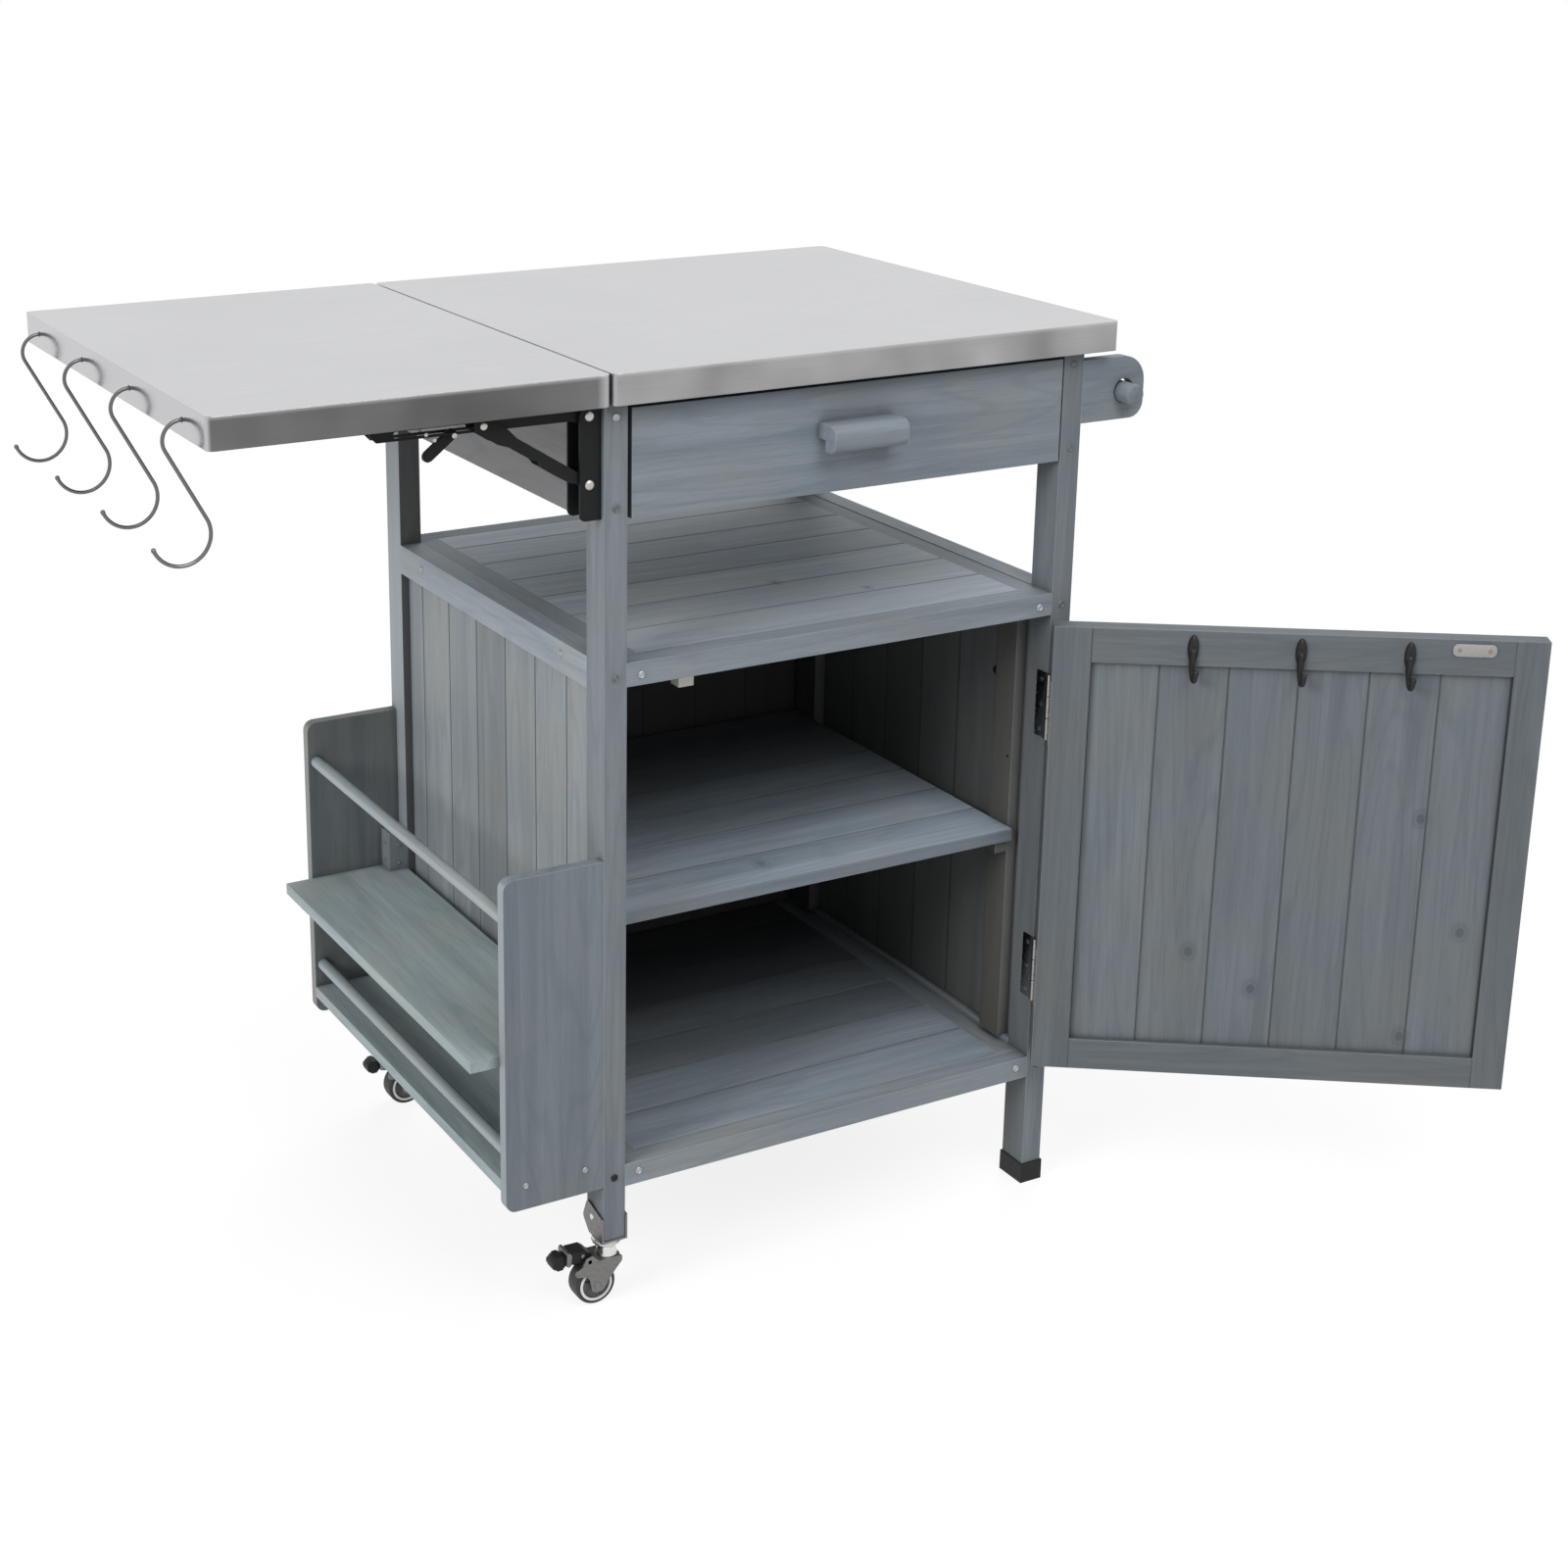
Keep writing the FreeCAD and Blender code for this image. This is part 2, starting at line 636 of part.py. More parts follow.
# Brake pedal: a hub round its pin, a short shoe over the tread and a turned-up foot plate
def makePedal():
    x, z, middle = PEDAL_X, PEDAL_Z, CASTER_Y
    low, high = middle - PEDAL_W / 2, middle + PEDAL_W / 2
    hub = smallRound(V(x, low, z), V(x, high, z), PEDAL_HUB)
    tread = z - SHOE_DROP
    shoe = [(x - PEDAL_HUB, z), (x - PEDAL_HUB / 2, tread), (x + PEDAL_HUB / 4, tread), (x + PEDAL_HUB, z)]
    knee = x - PEDAL_L / 2
    end = x - PEDAL_L
    rise = z + PEDAL_TURN_UP
    brim = rise + PEDAL_T
    foot = [(x, z + PEDAL_HUB), (knee, rise), (end + PEDAL_END / 2, brim), (end, brim)]
    foot += [(end, brim - PEDAL_END), (end + PEDAL_END / 2, brim - PEDAL_END), (end + PEDAL_END, rise)]
    foot += [(knee, rise - PEDAL_T), (x, z)]
    pieces = [plate("XZ", shoe, low, high), plate("XZ", foot, low, high)]
    bore = smallRound(V(x, low - 1, z), V(x, high + 1, z), PEDAL_PIN + AXLE_FIT, True)
    return hub.fuse(pieces).removeSplitter().cut(bore)


# Rack on the left side

def makeRackEnd():
    points = [(0, RACK_Z), (-RACK_OUT, RACK_Z), (-RACK_OUT, RACK_TOP), (0, RACK_TOP)]
    board = plate("XZ", points, 0, RACK_T, [0, RACK_R, RACK_R, 0])
    for z in DOWEL_ZS:
        x = -RACK_OUT + DOWEL_IN
        board = board.cut(smallRound(V(x, RACK_T - DOWEL_DEEP, z), V(x, RACK_T + 1, z), DOWEL_R + FIT, True))
    return board


def makeRackShelves():
    floor = box(-RACK_OUT, 0, RACK_T, BODY_D - RACK_T, RACK_FLOOR_TOP - RACK_T, RACK_FLOOR_TOP)
    shelf = box(-RACK_SHELF_OUT, 0, RACK_T, BODY_D - RACK_T, RACK_SHELF_TOP - RACK_T, RACK_SHELF_TOP)
    return [floor, shelf]


def makeRackDowels():
    x = -RACK_OUT + DOWEL_IN
    low = RACK_T - DOWEL_DEEP
    return [cylinder(V(x, low, z), V(x, BODY_D - low, z), DOWEL_R) for z in DOWEL_ZS]


def makeRackBlock():
    return box(-BLOCK, 0, RACK_T, RACK_T + BLOCK, RACK_SHELF_TOP, RACK_SHELF_TOP + BLOCK_H)


# Towel rod and its two brackets on the right side

def makeTowelBracket():
    right = BODY_W + TOWEL_OUT
    points = [(BODY_W, TOWEL_Z), (right, TOWEL_Z), (right, TOWEL_TOP), (BODY_W, TOWEL_TOP)]
    board = plate("XZ", points, 0, RACK_T, [0, TOWEL_R_LOW, TOWEL_R_TOP, 0])
    x = BODY_W + ROD_X
    return board.cut(cylinder(V(x, -1, ROD_HOLE_Z), V(x, RACK_T + 1, ROD_HOLE_Z), ROD_HOLE_R))


def makeTowelRod():
    x = BODY_W + ROD_X
    return cylinder(V(x, -ROD_OVER, ROD_Z), V(x, BODY_D + ROD_OVER, ROD_Z), ROD_R)


# Folding brackets

def makeBracketUpright():
    x, z = ARM_PIVOT_X, ARM_PIVOT_Z
    half = UPRIGHT_PLATE_W / 2
    left = -UPRIGHT_PLATE_OUT
    top = z + UPRIGHT_NOSE
    points = [(0, UPRIGHT_PLATE_Z), (left, UPRIGHT_PLATE_Z), (left, top), (0, top)]
    radii = [0, UPRIGHT_PLATE_R, x - left, 0]
    flangeLow = plate("XZ", points, BRACKET_Y - half, BRACKET_Y - half + PLATE, radii)
    flangeHigh = plate("XZ", points, BRACKET_Y + half - PLATE, BRACKET_Y + half, radii)
    web = box(-PLATE, 0, BRACKET_Y - half, BRACKET_Y + half, UPRIGHT_PLATE_Z, top)
    return flangeLow.fuse([flangeHigh, web]).removeSplitter()


# The arm's rivet runs right through; the strut has a short one on each side,
# so that the folded arm lies between them
def makeBracketRivets():
    half = UPRIGHT_PLATE_W / 2
    low = V(ARM_PIVOT_X, BRACKET_Y - half, ARM_PIVOT_Z)
    high = V(ARM_PIVOT_X, BRACKET_Y + half, ARM_PIVOT_Z)
    out = V(0, RIVET_OUT, 0)
    through = smallRound(low - out, high + out, RIVET_R)
    through = through.fuse([smallRound(low - out, low, RIVET_HEAD), smallRound(high, high + out, RIVET_HEAD)])
    down = V(0, 0, -PIVOT_SPAN)
    inner = V(ARM_PIVOT_X, BRACKET_Y - ARM_W / 2 - SLIDE_GAP, STRUT_PIVOT_Z)
    short = smallRound(low - out + down, inner, RIVET_R)
    short = short.fuse(smallRound(low - out + down, low + down, RIVET_HEAD))
    return [through, short, short.mirror(V(0, BRACKET_Y, 0), V(0, 1, 0))]


def drillUpright(upright):
    half = UPRIGHT_PLATE_W / 2 + 1
    for z in (ARM_PIVOT_Z, STRUT_PIVOT_Z):
        start = V(ARM_PIVOT_X, BRACKET_Y - half, z)
        end = V(ARM_PIVOT_X, BRACKET_Y + half, z)
        upright = upright.cut(smallRound(start, end, RIVET_R + RIVET_FIT, True))
    return upright


# Arm: a channel with its back up against the leaf's batten, slotted for the strut's rivet
def makeBracketArm():
    x, z = ARM_PIVOT_X, ARM_PIVOT_Z
    half = ARM_W / 2
    low = CARCASS_Z - ARM_H
    right = x + ARM_END_R
    lobe = z - ARM_END_R
    end = x - ARM_L
    points = [(right, CARCASS_Z), (right, lobe), (x - ARM_END_R, lobe), (x - ARM_END_R - ARM_STEP, low)]
    points += [(end + ARM_BEVEL, low), (end, low + ARM_BEVEL), (end, CARCASS_Z)]
    radii = [0, ARM_END_R * 0.9, ARM_END_R * 0.9, 0, 0, 0, 0]
    sideLow = plate("XZ", points, BRACKET_Y - half, BRACKET_Y - half + PLATE, radii)
    sideHigh = plate("XZ", points, BRACKET_Y + half - PLATE, BRACKET_Y + half, radii)
    web = box(end, x - ARM_END_R, BRACKET_Y - half, BRACKET_Y + half, CARCASS_Z - PLATE, CARCASS_Z)
    arm = sideLow.fuse([sideHigh, web]).removeSplitter()
    bore = smallRound(V(x, BRACKET_Y - half - 1, z), V(x, BRACKET_Y + half + 1, z), RIVET_R + RIVET_FIT, True)
    arm = arm.cut(bore)
    slotZ = z + STRUT_END[1]
    near = x + STRUT_END[0]
    far = x - SLOT_END
    r = SLOT_W / 2
    slot = [(near + r, slotZ), (near + r / 2, slotZ + r), (far - r / 2, slotZ + r), (far - r, slotZ)]
    slot += [(far - r / 2, slotZ - r), (near + r / 2, slotZ - r)]
    arm = arm.cut(plate("XZ", slot, BRACKET_Y - half - 1, BRACKET_Y + half + 1))
    px = x + LEVER_PIVOT[0]
    pz = z + LEVER_PIVOT[1]
    bar = smallRound(V(px, BRACKET_Y - half, pz), V(px, BRACKET_Y + half, pz), LEVER_PIN)
    return arm.fuse(bar)


# Strut: two links joined by a short web on the side away from the leaf
def makeBracketStrut():
    half = STRUT_W / 2
    r = STRUT_HALF
    end = STRUT_END_R
    length = STRUT_LEN
    wide = length - STRUT_WIDE
    narrow = wide - STRUT_TAPER
    points = [(-r, -r), (narrow, -r), (wide, -end), (length, -end)]
    points += [(length + end, -STRUT_BEVEL), (length + end, STRUT_BEVEL), (length, end)]
    points += [(wide, end), (narrow, r), (-r, r)]
    radii = [r * 0.9] + [0] * 8 + [r * 0.9]
    links = []
    for low in (BRACKET_Y - half, BRACKET_Y + half - PLATE):
        link = plate("XZ", points, low, low + PLATE, radii)
        link = link.cut(smallRound(V(0, low - 1, 0), V(0, low + PLATE + 1, 0), RIVET_R + RIVET_FIT, True))
        links.append(link)
    start = STRUT_WEB_START
    web = box(start, start + STRUT_WEB_L, BRACKET_Y - half, BRACKET_Y + half, r - STRUT_WEB, r)
    strut = links[0].fuse([links[1], web]).removeSplitter()
    face = V(length, BRACKET_Y - half, 0)
    rivet = smallRound(face - V(0, RIVET_OUT, 0), face, RIVET_HEAD)
    rivet = rivet.fuse(smallRound(face, V(length, BRACKET_Y - ARM_W / 2 - SLIDE_GAP, 0), RIVET_R))
    strut = strut.fuse([rivet, rivet.mirror(V(0, BRACKET_Y, 0), V(0, 1, 0))]).removeSplitter()
    rise = ARM_PIVOT_Z + STRUT_END[1] - STRUT_PIVOT_Z
    tilt = math.degrees(math.atan2(rise, STRUT_END[0]))
    strut.rotate(V(0, 0, 0), V(0, -1, 0), tilt)
    strut.translate(V(ARM_PIVOT_X, 0, STRUT_PIVOT_Z))
    return strut


# Release lever inside the arm
def makeLever():
    length = math.hypot(*LEVER_TIP)
    low = BRACKET_Y - LEVER_T / 2
    high = BRACKET_Y + LEVER_T / 2
    r = LEVER_HUB
    points = [(-r, -r), (length - r, -r), (length + r, -r + LEVER_NOSE), (length + r, r), (-r, r)]
    lever = plate("XZ", points, low, high, [r * 0.9, 0, 0, 0, r * 0.9])
    lever = lever.cut(smallRound(V(0, low - 1, 0), V(0, high + 1, 0), LEVER_PIN + AXLE_FIT, True))
    tilt = math.degrees(math.atan2(LEVER_TIP[1], LEVER_TIP[0]))
    lever.rotate(V(0, 0, 0), V(0, -1, 0), tilt)
    lever.translate(V(ARM_PIVOT_X + LEVER_PIVOT[0], 0, ARM_PIVOT_Z + LEVER_PIVOT[1]))
    return lever


# Leaf

def hookYs():
    first = TOP_FRONT + HOOK_FRONT_IN
    last = TOP_BACK - HOOK_BACK_IN
    return [first + (last - first) * i / (HOOK_COUNT - 1) for i in range(HOOK_COUNT)]


def makeLeafShell():
    pan = makePan(LEAF_LEFT, LEAF_RIGHT, True)
    z = HOOK_Z + HOOK_TOP_R
    for y in hookYs():
        pan = pan.cut(smallRound(V(LEAF_LEFT - 1, y, z), V(LEAF_LEFT + SHEET + 1, y, z), HOOK_HOLE_R, True))
    return pan


def makeLeafBatten():
    half = LEAF_BATTEN_W / 2
    left = LEAF_LEFT + LEAF_BATTEN_IN
    right = LEAF_RIGHT - LIP - LEAF_BATTEN_GAP
    return box(left, right, BRACKET_Y - half, BRACKET_Y + half, CARCASS_Z, TOP_Z - SHEET)


# An S of round wire hung through a hole in the leaf's end
def makeHook(y):
    top = V(HOOK_X, y, HOOK_Z)
    low = V(HOOK_X + HOOK_SHIFT, y, HOOK_Z - HOOK_DROP)
    span = math.hypot(HOOK_SHIFT, HOOK_DROP)
    lean = math.atan2(-HOOK_DROP, HOOK_SHIFT) - math.acos((HOOK_TOP_R + HOOK_LOW_R) / span)
    lean = math.degrees(lean) % 360

    def at(centre, radius, degrees):
        angle = math.radians(degrees)
        return centre + V(radius * math.cos(angle), 0, radius * math.sin(angle))

    start = at(top, HOOK_TOP_R, HOOK_INNER)
    path = []
    for centre, radius, first, last in ((top, HOOK_TOP_R, HOOK_INNER, lean),
                                        (low, HOOK_LOW_R, lean - 180, HOOK_TIP - 360)):
        steps = round(abs(last - first) / HOOK_STEP)
        path += [at(centre, radius, first + (last - first) * i / steps) for i in range(steps + 1)]
    path = Part.makePolygon(path)
    heading = V(-math.sin(math.radians(HOOK_INNER)), 0, math.cos(math.radians(HOOK_INNER)))
    rim = []
    for i in range(HOOK_SIDES):
        angle = 2 * math.pi * (i + 0.5) / HOOK_SIDES
        side = V(0, 1, 0) * math.cos(angle) + heading.cross(V(0, 1, 0)) * math.sin(angle)
        rim.append(start + side * HOOK_WIRE)
    section = Part.makePolygon(rim + rim[:1])
    return path.makePipeShell([section], True, False, 1)


# Drawer

def drawerSideX():
    return APRON_IN + APRON_T + RUNNER_LEG + SLIDE_GAP + 0.2


def drawerLow():
    return APRON_Z + LEDGE_T + SLIDE_GAP


def makeDrawerFront():
    left = IN_LEFT + DRAWER_LEFT_GAP
    right = IN_RIGHT - DRAWER_RIGHT_GAP
    front = box(left, right, 0, DRAWER_T, DRAWER_Z, DRAWER_Z + DRAWER_H)
    return front.cut(drawerFloorGroove())


def drawerFloorGroove():
    x = drawerSideX() + DRAWER_SIDE_T - DRAWER_GROOVE
    z = drawerLow() + DRAWER_FLOOR_UP
    y0 = DRAWER_T - DRAWER_GROOVE
    y1 = DRAWER_L - DRAWER_SIDE_T + DRAWER_GROOVE
    return box(x, BODY_W - x, y0, y1, z, z + DRAWER_FLOOR_T)


def makeDrawerBox():
    x = drawerSideX()
    low = drawerLow()
    high = low + DRAWER_SIDE_H
    side = box(x, x + DRAWER_SIDE_T, DRAWER_T, DRAWER_L, low, high)
    inner = x + DRAWER_SIDE_T
    back = box(inner, BODY_W - inner, DRAWER_L - DRAWER_SIDE_T, DRAWER_L, low, high)
    groove = drawerFloorGroove()
    return [piece.cut(groove) for piece in bothSides(side) + [back]]


# Wooden bar handle on a neck, with a finger groove below the neck
def makeHandle(middleX, middleZ, upright):
    half = HANDLE_W / 2
    tall = HANDLE_H / 2
    groove = -tall + HANDLE_UNDERCUT
    profile = [(0, tall), (-HANDLE_OUT, tall), (-HANDLE_OUT, -tall), (-HANDLE_NECK, -tall)]
    profile += [(-HANDLE_NECK, groove), (0, groove)]
    handle = plate("YZ", profile, -half, half, [0, HANDLE_R, HANDLE_R, 0, 0, 0])
    if upright:
        handle.rotate(V(0, 0, 0), V(0, 1, 0), 90)
    handle.translate(V(middleX, 0, middleZ))
    return handle


# Door

def makeDoorFrame():
    hingeStile = box(DOOR_RIGHT - HINGE_STILE, DOOR_RIGHT, 0, DOOR_T, DOOR_Z, DOOR_TOP)
    latchStile = box(DOOR_LEFT, DOOR_LEFT + LATCH_STILE, 0, DOOR_T, DOOR_Z, DOOR_TOP)
    left = DOOR_LEFT + LATCH_STILE
    right = DOOR_RIGHT - HINGE_STILE
    lowRail = box(left, right, 0, DOOR_T, DOOR_Z, DOOR_Z + DOOR_LOW_RAIL)
    topRail = box(left, right, 0, DOOR_T, DOOR_TOP - DOOR_TOP_RAIL, DOOR_TOP)
    panel = box(left - TONGUE, right + TONGUE, DOOR_PLANK_IN, DOOR_PLANK_IN + PLANK_T,
                DOOR_Z + DOOR_LOW_RAIL - TONGUE, DOOR_TOP - DOOR_TOP_RAIL + TONGUE)
    return [piece.cut(panel) for piece in (hingeStile, latchStile, lowRail, topRail)]


def makeDoorPlanks():
    left = DOOR_LEFT + LATCH_STILE
    right = DOOR_RIGHT - HINGE_STILE
    pitch = (right - left) / DOOR_PLANKS
    low = DOOR_Z + DOOR_LOW_RAIL - TONGUE
    high = DOOR_TOP - DOOR_TOP_RAIL + TONGUE
    planks = []
    for i in range(DOOR_PLANKS):
        start = left + pitch * i if i else left - TONGUE
        end = left + pitch * (i + 1) if i < DOOR_PLANKS - 1 else right + TONGUE
        profile = plankProfile(start, end, DOOR_PLANK_IN, DOOR_PLANK_IN + PLANK_T, True, True)
        planks.append(plate("XY", profile, low, high))
    return planks


def knuckleSpan(z, index):
    step = HINGE_H / KNUCKLES
    return z + step * index + KNUCKLE_GAP / 2, z + step * (index + 1) - KNUCKLE_GAP / 2


# A hinge leaf; the one on the post holds the pin, the door's turns on it
def makeHingeLeaf(z, indexes, plateLeft, plateRight, holdsPin):
    leaf = box(plateLeft, plateRight, 0, LEAF_W, z, z + HINGE_H)
    parts = []
    for index in indexes:
        low, high = knuckleSpan(z, index)
        parts.append(smallRound(V(HINGE_X, HINGE_Y, low), V(HINGE_X, HINGE_Y, high), KNUCKLE_R))
        parts.append(box(plateLeft, plateRight, HINGE_Y, 0, low, high))
    if holdsPin:
        parts.append(smallRound(V(HINGE_X, HINGE_Y, z), V(HINGE_X, HINGE_Y, z + HINGE_H), PIN_R))
        return leaf.fuse(parts).removeSplitter()
    start = V(HINGE_X, HINGE_Y, z)
    bore = smallRound(start, start + V(0, 0, HINGE_H), PIN_R + PIN_FIT, True)
    return leaf.fuse(parts).removeSplitter().cut(bore)


def makePostHinge(z):
    return makeHingeLeaf(z, range(0, KNUCKLES, 2), IN_RIGHT - LEAF_T, IN_RIGHT, True)


def makeDoorHinge(z):
    return makeHingeLeaf(z, range(1, KNUCKLES, 2), DOOR_RIGHT, DOOR_RIGHT + LEAF_T, False)


# Cast hook: an oval head on a narrow stem that ends in an upturned prong
def makeDoorHook(x):
    y = DOOR_T
    head = HOOK_HEAD_W / 2
    stem = HOOK_STEM_W / 2
    top = DOOR_HOOK_TOP
    neck = top - HOOK_HEAD_H
    low = top - DOOR_HOOK_H
    outline = [(x - head, top), (x + head, top), (x + head, neck), (x + stem, neck - head)]
    outline += [(x + stem, low), (x - stem, low), (x - stem, neck - head), (x - head, neck)]
    back = plate("XZ", outline, y, y + DOOR_HOOK_T, [head * 0.9, head * 0.9] + [0] * 6)
    t = PRONG_T
    root = y + DOOR_HOOK_T / 2
    out = y + PRONG_OUT
    side = [(root, low), (out - t, low), (out, low + t), (out, low + PRONG_RISE)]
    side += [(out - t, low + PRONG_RISE), (out - t, low + t), (root, low + t)]
    prong = plate("YZ", side, x - t / 2, x + t / 2)
    prong.rotate(V(x, root, 0), V(0, 0, 1), PRONG_TURN)
    return back.fuse(prong)


def doorHookXs():
    first = DOOR_RIGHT - HOOK_HINGE_IN
    last = DOOR_LEFT + HOOK_LATCH_IN
    return [first + (last - first) * i / (DOOR_HOOK_COUNT - 1) for i in range(DOOR_HOOK_COUNT)]


def makeStrikePlate():
    x = CATCH_X + CATCH_W / 2 - STRIKE_W / 2
    points = [(x, STRIKE_Z - STRIKE_H / 2), (x + STRIKE_W, STRIKE_Z - STRIKE_H / 2)]
    points += [(x + STRIKE_W, STRIKE_Z + STRIKE_H / 2), (x, STRIKE_Z + STRIKE_H / 2)]
    return plate("XZ", points, DOOR_T, DOOR_T + STRIKE_T, [3] * 4)


def opened(shape):
    turned = shape.copy()
    turned.rotate(V(HINGE_X, HINGE_Y, 0), V(0, 0, 1), DOOR_OPEN)
    return turned


# Button heads of the bolts through the posts, rails and boards that show

def bolt(at, outward):
    return smallRound(at, at + outward * BOLT_H, BOLT_R)


def makeBolts():
    front = V(0, -1, 0)
    postZs = (TOP_Z - BOLT_TOP_DOWN, APRON_Z + BOLT_APRON_UP, SHELF_Z - BOLT_RAIL_DOWN)
    railZs = (SHELF_Z - BOLT_RAIL_DOWN, FLOOR_Z - BOLT_FLOOR_DOWN)
    places = [(V(POST_W / 2, 0, z), front) for z in postZs]
    places += [(V(IN_LEFT + BOLT_RAIL_IN, 0, z), front) for z in railZs]
    places.append((V(0, IN_FRONT + BOLT_SIDE_IN, SIDE_RAIL_TOP - BOLT_RAIL_DOWN), V(-1, 0, 0)))
    bolts = []
    for at, outward in places:
        bolts += [each for one in bothSides(bolt(at, outward)) for each in frontAndBack(one)]
    for x in (-RACK_OUT + BOLT_RACK_IN, -BOLT_RACK_IN):
        bolts += frontAndBack(bolt(V(x, 0, RACK_FLOOR_TOP - RACK_T / 2), front))
    return bolts


def buildNodes():
    nodes = {}
    nodes["post_front_left"] = [makePost(0, 0, LEFT_POST_Z)]
    nodes["post_rear_left"] = [makePost(0, IN_BACK, LEFT_POST_Z)]
    nodes["post_front_right"] = [makePost(IN_RIGHT, 0, CAP_T)]
    nodes["post_rear_right"] = [makePost(IN_RIGHT, IN_BACK, CAP_T)]
    nodes["worktop_shell"] = [makePan(TOP_LEFT, TOP_RIGHT, False)]
    nodes["worktop_core"] = [makeWorktopCore()]
    nodes["side_aprons"] = bothSides(makeSideApron())
    nodes["rear_apron"] = [makeRearApron()]
    nodes["drawer_runners"] = bothSides(makeRunner())
    nodes["shelf_rails"] = makeCrossRails(SHELF_Z, SHELF_RAIL_H, SHELF_RAIL_T)
    nodes["shelf_battens"] = makeBattens(SHELF_Z, SHELF_RAIL_H, SHELF_RAIL_T)
    nodes["shelf_boards"] = makeFloorBoards(SHELF_Z, SHELF_RAIL_T)
    nodes["side_rails"] = makeSideRails()
    nodes["side_planks"] = makeSidePlanks()
    nodes["back_planks"] = makeBackPlanks()
    nodes["floor_rails"] = makeCrossRails(FLOOR_Z, FLOOR_RAIL_H, FLOOR_RAIL_T)
    nodes["floor_battens"] = makeBattens(FLOOR_Z, FLOOR_RAIL_H, FLOOR_RAIL_T)
    nodes["floor_boards"] = makeFloorBoards(FLOOR_Z, FLOOR_RAIL_T)
    nodes["inner_uprights"] = makeInnerUprights()
    nodes["mid_shelf_cleats"] = makeCleats()
    nodes["mid_shelf_boards"] = makeMidShelf()
    nodes["magnetic_catch"] = [makeCatch()]
    nodes["foot_caps"] = frontAndBack(makeFootCap())
    nodes["caster_sockets"] = frontAndBack(makeCasterSocket())
    nodes["rack_end_boards"] = frontAndBack(makeRackEnd())
    nodes["rack_shelves"] = makeRackShelves()
    nodes["rack_dowels"] = makeRackDowels()
    nodes["rack_blocks"] = frontAndBack(makeRackBlock())
    nodes["towel_brackets"] = frontAndBack(makeTowelBracket())
    nodes["towel_rod"] = [makeTowelRod()]
    nodes["bracket_uprights"] = frontAndBack(drillUpright(makeBracketUpright()))
    nodes["bracket_rivets"] = [each for one in makeBracketRivets() for each in frontAndBack(one)]
    nodes["bracket_struts"] = frontAndBack(makeBracketStrut())
    nodes["bracket_arms"] = frontAndBack(makeBracketArm())
    lever = makeLever()
    nodes["bracket_lever_front"] = [lever]
    nodes["bracket_lever_rear"] = [mirrorY(lever)]
    nodes["leaf_shell"] = [makeLeafShell()]
    nodes["leaf_battens"] = frontAndBack(makeLeafBatten())
    for i, y in enumerate(hookYs()):
        nodes[f"s_hook_{i + 1}"] = [makeHook(y)]
    nodes["drawer_front"] = [makeDrawerFront()]
    nodes["drawer_box"] = makeDrawerBox()
    nodes["drawer_bottom"] = [drawerFloorGroove()]
    nodes["drawer_handle"] = [makeHandle(MID_X, HANDLE_Z, False)]
    nodes["door_frame"] = [opened(s) for s in makeDoorFrame()]
    nodes["door_planks"] = [opened(s) for s in makeDoorPlanks()]
    nodes["door_hinge_leaves"] = [opened(makeDoorHinge(z)) for z in HINGE_ZS]
    nodes["post_hinge_leaves"] = [makePostHinge(z) for z in HINGE_ZS]
    nodes["door_hooks"] = [opened(makeDoorHook(x)) for x in doorHookXs()]
    nodes["door_strike_plate"] = [opened(makeStrikePlate())]
    handle = makeHandle(DOOR_LEFT + LATCH_STILE / 2, (DOOR_Z + DOOR_TOP) / 2, True)
    nodes["door_handle"] = [opened(handle)]
    for name, flip in (("front", False), ("rear", True)):
        fork, wheel, pedal = makeCasterFork(), makeWheel(), makePedal()
        if flip:
            fork, wheel, pedal = mirrorY(fork), mirrorY(wheel), mirrorY(pedal)
        nodes[f"caster_fork_{name}"] = [fork]
        nodes[f"caster_wheel_{name}"] = [wheel]
        nodes[f"brake_pedal_{name}"] = [pedal]
    nodes["frame_bolts"] = makeBolts()
    return nodes


# The origin lies on the floor under the middle of the cart's outline as it stands
def centring(nodes):
    whole = FreeCAD.BoundBox()
    for solids in nodes.values():
        for solid in solids:
            whole.add(solid.optimalBoundingBox(False, False))
    return V(-whole.Center.x, -whole.Center.y, -whole.ZMin)


def main():
    os.makedirs("parts", exist_ok=True)
    nodes = buildNodes()
    shift = centring(nodes)
    for name, solids in nodes.items():
        for solid in solids:
            solid.translate(shift)
        shape = solids[0] if len(solids) == 1 else Part.makeCompound(solids)
        shape.exportStep(f"parts/{name}.step")
    print(f"{len(nodes)} nodes, shift {shift.x:.4f} {shift.y:.4f} {shift.z:.4f}")
    return nodes, shift


NODES, SHIFT = main()
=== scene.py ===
import bpy
import bmesh
import json
import math
from mathutils import Matrix, Vector


